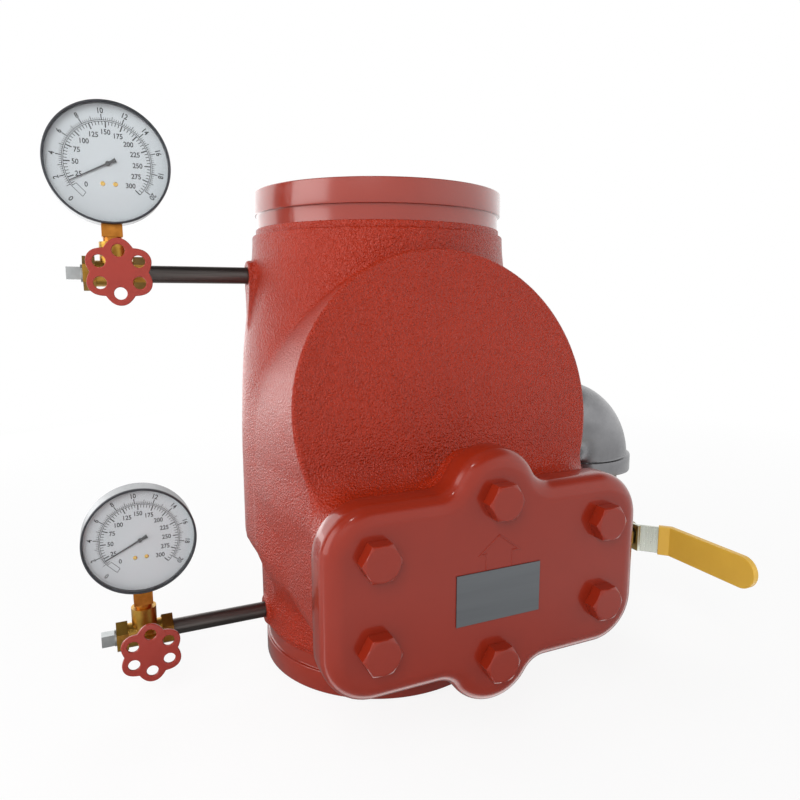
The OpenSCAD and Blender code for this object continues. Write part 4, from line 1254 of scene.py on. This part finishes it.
@dataclass
class Cover:
    """The access cover with its bolts, its plate and the raised arrow above the plate."""

    outline: CoverOutline
    back_y: float = -187.0
    thickness: float = 24.5
    edge_in: float = 14.0
    edge_r: float = 11.0
    foot: float = 0.9
    bolt_af: float = 23.8
    bolt_head: float = 9.9
    bolt_bevel_deg: float = 30.0
    shank_r: float = 7.9
    shank: float = 38.0
    plate_z: float = 132.7
    plate_h: float = 35.8
    arrow_half: float = 10.2
    arrow_head_half: float = 15.3
    arrow_neck: float = 11.5
    arrow_tip: float = 23.5
    ridge_half: float = 0.75
    ridge_rise: float = 0.45

    @property
    def front_y(self) -> float:
        """Place of the cover's flat front."""
        return self.back_y - self.thickness

    def plate(self) -> None:
        """The cover: its outline carried along a section of side wall, round edge and flat front.

        The round edge is a quarter of an ellipse, edge_in wide and edge_r deep, and the wall's
        foot is broken.
        """
        turn = np.linspace(0, np.pi / 2, 15)
        inset = self.edge_in * (1 - np.cos(turn))
        depth = self.thickness - self.edge_r * (1 - np.sin(turn))
        section = [(self.foot, 0.0), (0.25, 0.25), (0.0, self.foot), (0.0, depth[0] * 0.5)]
        section += list(zip(inset, depth))
        section += [(self.edge_in + 1.2, self.thickness), (self.edge_in + 6, self.thickness)]
        rings = []
        for step, rise in section:
            ring = self.outline.ring(step)
            rings.append(placed(ring[:, 0], self.back_y - rise, ring[:, 1]))
        points, faces = loft(np.asarray(rings))
        piece("cover_casting", points, faces, COVER_RED, "valve", ["access_cover"], 40)

    def bolts(self) -> None:
        """Six hexagon heads, each with its shank: the smaller of a turned profile and six flats.

        A flat lies at half the width over flats, divided by the cosine of the angle from its middle.
        """
        angle = np.linspace(0, 2 * np.pi, 96, endpoint=False)
        flats = (self.bolt_af / 2) / np.cos((angle % (np.pi / 3)) - np.pi / 6)
        rim, top = self.bolt_af / 2 * 0.95, self.bolt_head
        bevel = top - (flats - rim) * math.tan(math.radians(self.bolt_bevel_deg))
        rows = [
            (self.shank_r, -self.shank), (self.shank_r, -0.3), (flats - 0.4, -0.3), (flats, 0.2),
            (flats, bevel - 0.25), (flats - 0.2, bevel - 0.02), (rim + 0.25, top - 0.14),
            (rim - 0.3, top), (rim - 1.5, top),
        ]
        across, up = np.cos(angle), np.sin(angle)
        shapes = [
            loft(np.stack([placed(x + r * across, self.front_y - h, z + r * up) for r, h in rows]))
            for x, z in self.outline.bolt_places()
        ]
        points, faces = gathered(shapes)
        piece("cover_bolt_heads", points, faces, COVER_RED, "valve", ["cover_bolts"], 22)

    def arrow(self) -> None:
        """The raised outline of an upward arrow: a thin ridge carried along its strokes."""
        base = self.plate_z + self.plate_h / 2
        shaft, neck = self.arrow_half, self.arrow_neck
        right = [(shaft, 1.0), (shaft, neck), (self.arrow_head_half, neck), (0.0, self.arrow_tip)]
        left = [(-x, z) for x, z in right[-2::-1]]
        path = [(x, base + z) for x, z in right + left][::-1]
        points, faces = self.ridge(path)
        piece("raised_arrow", points, faces, COVER_RED, "valve")

    def ridge(self, path: Sequence) -> tuple[Array, list]:
        """A low ridge on the cover's front, with a flat top and sloping sides, mitred at each corner.

        Args:
            path: X and Z of its corners.

        Returns:
            The points and the faces.
        """
        way = np.asarray(path, float)
        along = np.diff(way, axis=0)
        along /= np.linalg.norm(along, axis=1, keepdims=True)
        before = np.vstack([along[:1], along])
        after = np.vstack([along, along[-1:]])
        side = np.stack([-(before + after)[:, 1], (before + after)[:, 0]], axis=1)
        side /= (side * np.stack([-before[:, 1], before[:, 0]], axis=1)).sum(1, keepdims=True)
        half, rise = self.ridge_half, self.ridge_rise
        rings = []
        for out, height in [(-half, -0.2), (-half * 0.45, rise), (half * 0.45, rise), (half, -0.2)]:
            line = way + side * out
            rings.append(placed(line[:, 0], self.front_y - height, line[:, 1]))
        return loft(np.stack(rings, axis=1))

    def build(self) -> None:
        """Makes the cover, its bolts and its arrow, and dresses the plate and the gasket."""
        self.plate()
        self.bolts()
        self.arrow()
        dress(PLATE_GREY, "label_plate")
        dress(GASKET, "cover_gasket")


@dataclass
class Gauge:
    """One gauge with its valve.

    The dial's print is measured from its middle, and a ring's depths from the gauge's axis plane.
    Its scales' sizes come in pairs, for the inner and the outer one, and the wheel's lobes and
    holes each have a distance from the wheel's axis and a radius. A digit's height and the
    thickening of its stroke are shares of the type's size.
    """

    level: str
    x: float
    z: float
    wheel_x: float
    wheel_z: float
    inner_r: float = 30.2
    outer_r: float = 31.2
    zero_deg: float = 135.0
    step_deg: tuple = (0.9, 13.05)
    number_r: tuple = (22.7, 37.8)
    number_h: tuple = (3.6, 3.8)
    number_w: tuple = (0.92, 0.88)
    number_in: tuple = (0.5, 1.9)
    digit_h: float = 0.7
    stroke: float = 0.022
    arc_deg: tuple = ((124.0, -135.0), (124.0, -126.0))
    stop_deg: tuple = (124.4, 143.2)
    stop_r: tuple = (27.2, 31.1)
    stop_line: float = 0.4
    print_t: float = 0.03
    screw_x: float = 4.4
    screw_z: float = -14.7
    screw_r: float = 1.75
    ring_r: float = 44.5
    window_r: float = 42.7
    front: float = 14.0
    wheel_lobe: tuple = (15.3, 9.2)
    wheel_hole: tuple = (15.5, 4.5)
    wheel_disc_r: float = 18.2
    wheel_out: float = 37.1
    wheel_t: float = 2.8
    wheel_bore_r: float = 3.5
    wheel_melt: float = 5.0
    wheel_edge: float = 0.6
    wheel_hole_edge: float = 0.3
    wheel_hub: float = 0.4
    wheel_reach: tuple = (25.5, 2.3, 25.5)
    wheel_cell: float = 0.5
    wheel_triangles: int = 24000

    @property
    def dial_y(self) -> float:
        """Front of the dial, from the frame."""
        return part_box(self.level + "_gauge_dial")[0].y / MM

    def on_dial(self, flat: Array, layer: float) -> Array:
        """Places points drawn on the dial, X to the right and Z up, a layer's height above it."""
        return placed(self.x + flat[:, 0], self.dial_y - layer, self.z + flat[:, 1])

    def bars(self, angles: Array, inner: float, outer: float, width: float) -> Array:
        """Corners of thin bars along radii; angles turn left from straight up.

        Args:
            angles: the bars' directions in degrees.
            inner: where each starts.
            outer: where each ends.
            width: their width.

        Returns:
            Four corners for each bar.
        """
        a = np.radians(angles)
        along = np.stack([-np.sin(a), np.cos(a)], axis=1)
        across = np.stack([np.cos(a), np.sin(a)], axis=1) * width / 2
        near, far = along * inner, along * outer
        return np.stack([near - across, near + across, far + across, far - across], axis=1)

    def arc_band(self, radius: float, start: float, end: float, width: float) -> Array:
        """Corners of the short bars that make an arc.

        Args:
            radius: the arc's radius.
            start: its start in degrees, turning left from straight up.
            end: its end, counted the same way.
            width: its width.

        Returns:
            Four corners for each bar.
        """
        a = np.radians(np.linspace(start, end, 121))
        along = np.stack([-np.sin(a), np.cos(a)], axis=1)
        near, far = along * (radius - width / 2), along * (radius + width / 2)
        return np.stack([near[:-1], far[:-1], far[1:], near[1:]], axis=1)

    def ticks(self) -> Array:
        """All ticks and arcs of both scales.

        The inner scale has a tick every 5 from 15 to 300, a long one every 25. The outer scale has
        one every 0.2 from 1 to 20, longer at each whole number and longest at each even one.

        Returns:
            Four corners for each bar.
        """
        inner = np.arange(15, 301, 5)
        inner_deg = self.zero_deg - self.step_deg[0] * inner
        long = inner % 25 == 0
        outer = np.arange(1.0, 20.01, 0.2)
        outer_deg = self.zero_deg - self.step_deg[1] * outer
        even = np.isclose(outer % 2, 0) | np.isclose(outer % 2, 2)
        whole = (np.isclose(outer % 1, 0) | np.isclose(outer % 1, 1)) & ~even
        near, far = self.inner_r, self.outer_r
        parts = [
            self.bars(inner_deg[long], near - 4.5, near, 0.85),
            self.bars(inner_deg[~long], near - 2.6, near, 0.52),
            self.bars(outer_deg[even], far, far + 4.1, 0.7),
            self.bars(outer_deg[whole], far, far + 3.0, 0.5),
            self.bars(outer_deg[~even & ~whole], far, far + 1.8, 0.34),
            self.arc_band(near, *self.arc_deg[0], 0.42),
            self.arc_band(far, *self.arc_deg[1], 0.42),
        ]
        return np.concatenate(parts)

    def numeral(self, text: str, height: float, narrow: float) -> tuple[Array, list]:
        """A number as flat faces about its own middle, X to the right and Z up.

        Args:
            text: the digits.
            height: their height.
            narrow: their width as a share of the typeface's own.

        Returns:
            The points and the faces.
        """
        curve = bpy.data.curves.new("numeral", "FONT")
        curve.body = text
        curve.size = 1.0
        curve.offset = self.stroke
        curve.resolution_u = 4
        made = bpy.data.objects.new("numeral", curve)
        mesh = bpy.data.meshes.new_from_object(made)
        flat = np.array([v.co[:2] for v in mesh.vertices], float)
        faces = [list(p.vertices) for p in mesh.polygons]
        bpy.data.objects.remove(made)
        bpy.data.curves.remove(curve)
        bpy.data.meshes.remove(mesh)
        flat -= (flat.min(0) + flat.max(0)) / 2
        return flat * (height / self.digit_h) * (narrow, 1.0), faces

    def numerals(self) -> tuple[Array, list]:
        """Both scales' numbers: the inner ones upright, the outer ones turned along their radius.

        An inner number stands nearer the middle the more its width points outwards, and more so
        with three digits.

        Returns:
            The points and the faces.
        """
        shapes = []
        for value in range(0, 301, 25):
            angle = math.radians(self.zero_deg - self.step_deg[0] * value)
            wide = self.number_in[value >= 100] * abs(math.sin(angle))
            flat, faces = self.numeral(str(value), self.number_h[0], self.number_w[0])
            radius = self.number_r[0] - wide
            shapes.append((flat + (-radius * math.sin(angle), radius * math.cos(angle)), faces))
        for value in range(0, 21, 2):
            angle = math.radians(self.zero_deg - self.step_deg[1] * value)
            flat, faces = self.numeral(str(value), self.number_h[1], self.number_w[1])
            right, up = (math.cos(angle), math.sin(angle)), (-math.sin(angle), math.cos(angle))
            shapes.append((flat @ np.array([right, up]) + np.multiply(up, self.number_r[1]), faces))
        return gathered(shapes)

    def dial_print(self) -> None:
        """Ticks, arcs, numbers and the small frame of the stop at zero, as one thin layer of ink."""
        first, last = self.stop_deg
        inner, outer = self.stop_r
        turn = np.radians([first, last, last, first])
        reach = np.array([outer, outer, inner, inner])
        corners = np.stack([-np.sin(turn) * reach, np.cos(turn) * reach], axis=1)
        sides = []
        for a, b in zip(corners, np.roll(corners, -1, axis=0)):
            along = (b - a) / np.linalg.norm(b - a)
            across = np.array([-along[1], along[0]]) * self.stop_line / 2
            sides.append([a - across, b - across, b + across, a + across])
        bars = np.concatenate([self.ticks(), np.asarray(sides)])
        faces = np.arange(len(bars) * 4).reshape(-1, 4)
        areas = np.cross(bars[:, 1] - bars[:, 0], bars[:, 2] - bars[:, 0])
        faces[areas < 0] = faces[areas < 0][:, ::-1]
        flat, faces = gathered([(bars.reshape(-1, 2), faces), self.numerals()])
        piece(self.level + "_dial_print", self.on_dial(flat, self.print_t), faces, DIAL_INK, "valve")

    def screws(self) -> None:
        """Two small brass screws that hold the dial: rings that draw in as they rise to a low dome."""
        angle = np.linspace(0, 2 * np.pi, 20, endpoint=False)
        dome = [(self.screw_r, -0.2), (self.screw_r, 0.1), (1.5, 0.3), (1.0, 0.45), (0.4, 0.5)]
        shapes = []
        for middle in (-self.screw_x, self.screw_x):
            rings = []
            for r, h in dome:
                flat = np.stack([middle + r * np.cos(angle), self.screw_z + r * np.sin(angle)], axis=1)
                rings.append(self.on_dial(flat, h))
            shapes.append(loft(np.asarray(rings)))
        points, faces = gathered(shapes)
        piece(self.level + "_dial_screws", points, faces, BRIGHT_BRASS, "valve")

    def facing(self, profile: Sequence, closed: bool) -> tuple[Array, list]:
        """A profile turned about the gauge's own axis.

        Args:
            profile: radius and distance in front of the gauge's axis plane.
            closed: whether the profile joins up with itself.

        Returns:
            The points and the faces.
        """
        points, faces = turned(profile, 160, closed)
        return placed(self.x + points[:, 0], -points[:, 2], self.z + points[:, 1]), faces

    def ring(self) -> None:
        """The thin crimped ring and the window that it holds."""
        ring, window, front = self.ring_r, self.window_r, self.front
        lip = [
            (ring, front - 3), (ring, front - 0.7), (ring - 0.25, front - 0.2), (ring - 0.7, front),
            (window + 0.4, front - 0.1), (window + 0.1, front - 0.5), (window, front - 1.5),
            (window, front - 5.5), (window + 0.25, front - 5.5), (window + 0.25, front - 3),
        ]
        points, faces = self.facing(lip, True)
        piece(self.level + "_crimped_ring", points, faces, RING_BLACK, "valve", [self.level + "_gauge_ring"])
        pane = [(window - 0.2, -2.6), (window, -2.4), (window, -1.6), (window - 0.2, -1.4)]
        points, faces = self.facing([(r, front + h) for r, h in pane], False)
        piece(self.level + "_window", points, faces, GAUGE_GLASS, "valve", [self.level + "_gauge_lens"])

    def wheel_field(self, x: Array, y: Array, z: Array) -> Array:
        """Distance to the handwheel: six round lobes melted into a disc, each with its hole.

        The place is turned into one sixth of the wheel, where a lobe is a circle on the axis.

        Args:
            x, y, z: the places.

        Returns:
            The distance, negative inside.
        """
        across, up = x - self.wheel_x, z - self.wheel_z
        angle = np.mod(np.arctan2(up, across), np.pi / 3) - np.pi / 6
        far = np.hypot(across, up)
        u, v = far * np.cos(angle), far * np.sin(angle)
        lobe, hole = (
            np.hypot(u - at, v) - radius for at, radius in (self.wheel_lobe, self.wheel_hole)
        )
        flat = join(lobe, far - self.wheel_disc_r, self.wheel_melt)
        flat = meet(flat, -hole, self.wheel_hole_edge)
        plate = meet(flat, np.abs(y + self.wheel_out) - self.wheel_t / 2, self.wheel_edge)
        hub = np.maximum(far - self.wheel_bore_r, -self.wheel_out - self.wheel_hub - y)
        return np.maximum(plate, -hub)

    def wheel(self) -> None:
        """The handwheel, pressed from sheet with round edges."""
        middle = np.array((self.wheel_x, -self.wheel_out, self.wheel_z))
        low, high = middle - self.wheel_reach, middle + self.wheel_reach
        cast_piece(
            self.level + "_pressed_wheel", self.wheel_field, low, high, self.wheel_cell,
            self.wheel_triangles, WHEEL_RED, self.level + "_wheel", [self.level + "_handwheel"],
        )

    def build(self) -> None:
        """Makes the dial's print, ring, window and wheel, and dresses the rest."""
        level = self.level
        self.dial_print()
        self.screws()
        self.ring()
        self.wheel()
        dress(DIAL_PAINT, level + "_gauge_dial")
        dress(NEEDLE, level + "_pointer")
        dress(CASE_STEEL, level + "_gauge_case")
        dress(BLACK_PIPE, level + "_nipple")
        softened(level + "_gauge_socket", COPPER, "valve", 0.5)
        softened(level + "_valve_body", BRASS, "valve", 0.5)
        softened(level + "_bonnet", BRASS, "valve", 0.4)
        softened(level + "_packing_nut", BRASS, "valve", 0.4)
        softened(level + "_port_plug", PLUG_ZINC, "valve", 0.6)
        dress(STAINLESS, level + "_valve_stem")
        dress(BRASS, level + "_valve_disc")


@dataclass
class DrainLine:
    """The drain line: nipple, galvanised elbow, riser, ball valve and its lever."""

    drain_x: float = 199.0
    y: float = -60.0
    port_z: float = 215.0
    reach: float = 57.0
    drop: float = 50.0
    bend: float = 38.7
    outer_r: float = 38.3
    band_r: float = 41.5
    band_len: float = 14.0
    mouth_r: float = 30.4
    bore_r: float = 26.2

    def elbow(self) -> None:
        """The elbow: a circle carried along two straight legs and a quarter bend.

        Its radius is the band's near both mouths and steps down to the elbow's own; inside,
        the bore runs back.
        """
        leg, drop = self.reach - self.bend, self.drop - self.bend
        arc = self.bend * np.pi / 2
        length = leg + arc + drop
        band, wide, narrow = self.band_len, self.band_r, self.outer_r
        start = [
            (0.0, self.mouth_r), (0.0, wide - 1.2), (0.35, wide - 0.35), (1.2, wide),
            (band - 0.7, wide), (band - 0.2, wide - 0.2), (band, wide - 0.7),
            (band + 0.1, narrow + 0.9), (band + 0.3, narrow + 0.3), (band + 0.9, narrow),
        ]
        middle = [(s, narrow) for s in np.linspace(band + 2.5, length - band - 2.5, 44)]
        finish = [(length - s, r) for s, r in reversed(start)]
        inside = [(s, self.bore_r) for s in (length, *np.linspace(length - 6, 6, 40), 0.0)]
        s, radius = np.array(start + middle + finish + inside).T
        turn = np.clip((s - leg) / self.bend, 0, np.pi / 2)
        before = np.minimum(s, leg)
        after = np.maximum(s - leg - arc, 0)
        x = self.drain_x - self.reach + before + self.bend * np.sin(turn)
        z = self.port_z - self.bend * (1 - np.cos(turn)) - after
        angle = np.linspace(0, 2 * np.pi, 96, endpoint=False)
        side, out = radius[:, None] * np.cos(angle), radius[:, None] * np.sin(angle)
        lean = turn[:, None]
        rings = placed(x[:, None] + out * np.sin(lean), self.y + side, z[:, None] + out * np.cos(lean))
        points, faces = loft(rings, True)
        piece("elbow_casting", points, faces, ZINC, "valve", ["drain_elbow"], 40)

    def build(self) -> None:
        """Makes the elbow and finishes the rest of the line."""
        self.elbow()
        dress(BLACK_PIPE, "drain_nipple")
        dress(RISER_PIPE, "drain_riser")
        softened("drain_valve_body", DRAIN_BRASS, "valve", 0.9)
        softened("drain_valve_end", DRAIN_BRASS, "valve", 0.9)
        softened("drain_packing_nut", DRAIN_BRASS, "valve", 0.5)
        dress(CHROME, "drain_ball")
        dress(SEAT_PLASTIC, "drain_ball_seats")
        dress(STAINLESS, "drain_stem")
        softened("drain_lever", LEVER_PLATE, "drain_handle", 0.5)
        softened("drain_lever_nut", BRASS, "drain_handle", 0.4)
        softened("lever_sleeve", VINYL, "drain_handle", 1.1, 3)


@dataclass
class Clapper:
    """The clapper and its seat inside the valve."""

    iron: tuple = ("clapper_disc", "clapper_arm")
    steel: tuple = ("seal_retainer", "retainer_screws", "clapper_nut", "hinge_pin", "hinge_clips")

    def build(self) -> None:
        """Finishes the pieces that the water moves."""
        dress(BRONZE, "seat_ring")
        dress(BARE_IRON, *self.iron)
        dress(RUBBER, "clapper_seal")
        dress(STAINLESS, *self.steel)


@dataclass(frozen=True)
class Side:
    """A side of the studio, brighter or darker than the rest.

    Its angle runs from the front toward +X, and it starts and is full where the cosine of the
    angle from its middle is low and high.
    """

    deg: float
    level: float
    low: float
    high: float

    def share(self, tree: Tree, way: bpy.types.NodeSocket) -> bpy.types.Node:
        """How far a direction points to this side.

        Args:
            tree: the world's node tree.
            way: the direction.

        Returns:
            The node that gives the share, from 0 to 1.
        """
        middle = (math.sin(math.radians(self.deg)), -math.cos(math.radians(self.deg)), 0)
        level = add(tree, "VectorMath", {0: way, 1: (1, 1, 0)}, operation="MULTIPLY")
        level = add(tree, "VectorMath", {0: level}, operation="NORMALIZE")
        near = add(tree, "VectorMath", {0: level, 1: middle}, operation="DOT_PRODUCT").outputs["Value"]
        ends = {"From Min": self.low, "From Max": self.high}
        return add(tree, "MapRange", {"Value": near, **ends}, interpolation_type="SMOOTHSTEP")


@dataclass(frozen=True)
class Lamp:
    """A soft lamp: its place, its width and height, its power in watts, and whether gloss shows it."""

    name: str
    at: tuple
    size: tuple
    power: float
    mirrored: bool = False

    def build(self, middle: Sequence) -> None:
        """Adds the lamp, unseen by the camera.

        Args:
            middle: the point that it shines at.
        """
        data = bpy.data.lights.new(self.name, "AREA")
        data.shape = "RECTANGLE"
        data.size, data.size_y = self.size[0] * MM, self.size[1] * MM
        data.energy = self.power
        made = bpy.data.objects.new(self.name, data)
        bpy.context.scene.collection.objects.link(made)
        made.location = np.asarray(self.at) * MM
        way = Vector(middle) - Vector(self.at)
        made.rotation_euler = way.to_track_quat("-Z", "Y").to_euler()
        made.visible_camera = False
        made.visible_glossy = self.mirrored


@dataclass
class Studio:
    """White sweep, soft lamps and the camera of the photograph.

    Its shader nodes count in metres. Mirrors alone show the bright line on the floor and the
    sides, except the left side, which lifts the plain fill instead.
    """

    floor_half: float = 6000.0
    floor_z: float = -1.5
    camera_at: tuple = (-236.2, -570.1, 330.5)
    yaw_deg: float = 24.389
    pitch_deg: float = 8.692
    lens_mm: float = 29.72
    fill: float = 0.38
    floor_near: float = 0.2
    floor_far: float = 0.95
    floor_glow: float = 0.88
    line_y: float = -200.0
    line_level: float = 2.4
    gap: Side = Side(deg=-117.0, level=0.2, low=0.97, high=0.992)
    band: Side = Side(deg=-86.0, level=2.4, low=0.92, high=0.965)
    behind: Side = Side(deg=-155.0, level=1.7, low=0.7, high=0.85)
    right: Side = Side(deg=80.0, level=0.3, low=0.2, high=0.9)
    left: Side = Side(deg=-120.0, level=1.05, low=-0.1, high=1.0)
    ceiling_level: float = 0.12
    ceiling_fill: float = 0.45
    middle: tuple = (0.0, -60.0, 210.0)
    lamps: tuple = (
        Lamp("key", (-700, -1100, 1000), (700, 700), 10),
        Lamp("glint", (-560, -900, 1500), (180, 180), 1.5, True),
        Lamp("fill", (1100, -900, 500), (900, 900), 3),
        Lamp("left_strip", (-1280, -226, 620), (260, 1300), 5),
        Lamp("low_left", (-560, 1250, 160), (1300, 360), 2.6, True),
        Lamp("back", (300, 1300, 900), (900, 500), 6),
    )

    def seen(self, tree: Tree, path: bpy.types.Node) -> bpy.types.Node:
        """1 for what the camera sees, also through a window."""
        rays = {0: path.outputs["Is Camera Ray"], 1: path.outputs["Is Transmission Ray"]}
        return add(tree, "Math", rays, operation="MAXIMUM")

    def floor(self) -> None:
        """A pale floor that keeps the object's shadow and fades to white far away."""
        ends = (-self.floor_half, self.floor_half)
        corners = [(x, y, self.floor_z) for x in ends for y in ends]
        mesh = bpy.data.meshes.new("floor")
        mesh.from_pydata((np.array(corners) * MM).tolist(), [], [(0, 2, 3, 1)])
        made = bpy.data.objects.new("floor", mesh)
        bpy.context.scene.collection.objects.link(made)
        paper = bpy.data.materials.new("white_paper")
        paper.use_nodes = True
        tree = paper.node_tree
        tree.nodes.clear()
        path = add(tree, "LightPath")
        mirrored = path.outputs["Is Glossy Ray"]
        place = add(tree, "TexCoord").outputs["Object"]
        length = add(tree, "VectorMath", {0: place}, operation="LENGTH").outputs["Value"]
        # Near the object the paper keeps a faint shadow, and from 1.5 m out it only glows.
        ends = {"From Min": 0.5, "From Max": 1.5, "To Min": self.floor_glow, "To Max": 1.0}
        fade = add(tree, "MapRange", {"Value": length, **ends})
        share = add(tree, "Math", {0: self.seen(tree, path), 1: fade}, operation="MULTIPLY")
        share = add(tree, "Math", {0: share, 1: mirrored}, operation="MAXIMUM")
        # In mirrors it is dark close to the object, where the object shades it.
        ends = {"From Min": 0.22, "From Max": 0.5, "To Min": self.floor_near, "To Max": self.floor_far}
        bounced = add(tree, "MapRange", {"Value": length, **ends})
        ahead = add(tree, "SeparateXYZ", {0: place}).outputs["Y"]
        ahead = add(tree, "Math", {0: ahead, 1: self.line_y * MM}, operation="SUBTRACT")
        ahead = add(tree, "Math", {0: ahead}, operation="ABSOLUTE")
        ends = {"From Min": 0.026, "From Max": 0.01, "To Max": self.line_level}
        line = add(tree, "MapRange", {"Value": ahead, **ends})
        bounced = add(tree, "Math", {0: bounced, 1: line}, operation="MAXIMUM")
        level = add(tree, "MapRange", {"Value": mirrored, "To Min": 1.0, "To Max": bounced})
        matt = add(tree, "BsdfDiffuse", {"Color": linear("F2F2F2")})
        glow = add(tree, "Emission", {"Color": (1, 1, 1, 1), "Strength": level})
        mixed = add(tree, "MixShader", {0: share, 1: matt, 2: glow})
        add(tree, "OutputMaterial", {"Surface": mixed})
        mesh.materials.append(paper)

    def world(self) -> None:
        """White where it is seen or mirrored, and a plain fill elsewhere."""
        sky = bpy.data.worlds.new("studio")
        bpy.context.scene.world = sky
        sky.use_nodes = True
        tree = sky.node_tree
        tree.nodes.clear()
        path = add(tree, "LightPath")
        mirrored = path.outputs["Is Glossy Ray"]
        way = add(tree, "TexCoord").outputs["Generated"]
        gap, band, behind, right, left = (
            side.share(tree, way) for side in (self.gap, self.band, self.behind, self.right, self.left)
        )
        walls = add(tree, "MapRange", {"Value": behind, "To Min": 1.0, "To Max": self.behind.level})
        walls = add(tree, "Math", {0: right, 1: self.right.level, 2: walls}, operation="MULTIPLY_ADD")
        walls = add(tree, "Math", {0: band, 1: self.band.level, 2: walls}, operation="MULTIPLY_ADD")
        walls = add(tree, "MapRange", {"Value": gap, "To Min": walls, "To Max": self.gap.level})
        # The ceiling is dark, from where a direction rises by half to where it rises by three quarters.
        height = add(tree, "SeparateXYZ", {0: way}).outputs["Z"]
        ends = {"From Min": 0.52, "From Max": 0.76, "To Min": 1.0, "To Max": self.ceiling_level}
        above = add(tree, "MapRange", {"Value": height, **ends}, interpolation_type="SMOOTHSTEP")
        walls = add(tree, "Math", {0: walls, 1: above}, operation="MULTIPLY")
        soft = add(tree, "MapRange", {"Value": left, "To Min": self.fill, "To Max": self.left.level})
        dim = add(tree, "MapRange", {"Value": above, "To Min": self.ceiling_fill, "To Max": 1.0})
        soft = add(tree, "Math", {0: soft, 1: dim}, operation="MULTIPLY")
        level = add(tree, "MapRange", {"Value": mirrored, "To Min": soft, "To Max": walls})
        level = add(tree, "MapRange", {"Value": self.seen(tree, path), "To Min": level, "To Max": 1.0})
        shown = add(tree, "Background", {"Color": (1, 1, 1, 1), "Strength": level})
        add(tree, "OutputWorld", {"Surface": shown})

    def build(self) -> None:
        """Sets the floor, the world, the lamps and the camera."""
        self.floor()
        self.world()
        for lamp in self.lamps:
            lamp.build(self.middle)
        lens = bpy.data.cameras.new("camera")
        lens.lens = self.lens_mm
        lens.sensor_width = 36
        lens.clip_start = 0.01
        made = bpy.data.objects.new("camera", lens)
        bpy.context.scene.collection.objects.link(made)
        made.location = np.asarray(self.camera_at) * MM
        made.rotation_euler = (math.radians(90 - self.pitch_deg), 0, -math.radians(self.yaw_deg))
        scene = bpy.context.scene
        scene.camera = made
        scene.view_settings.view_transform = "Standard"


def main() -> None:
    """Builds the valve's looks."""
    logging.basicConfig(level=logging.INFO, format="%(name)s %(message)s")
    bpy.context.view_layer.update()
    outline = CoverOutline()
    Casting(outline).build()
    Cover(outline).build()
    Gauge("upper", x=-222.5, z=431.0, wheel_x=-220.0, wheel_z=350.0).build()
    Gauge("lower", x=-216.5, z=134.5, wheel_x=-214.0, wheel_z=49.5).build()
    DrainLine().build()
    Clapper().build()
    Studio().build()


if __name__ == "__main__":
    main()
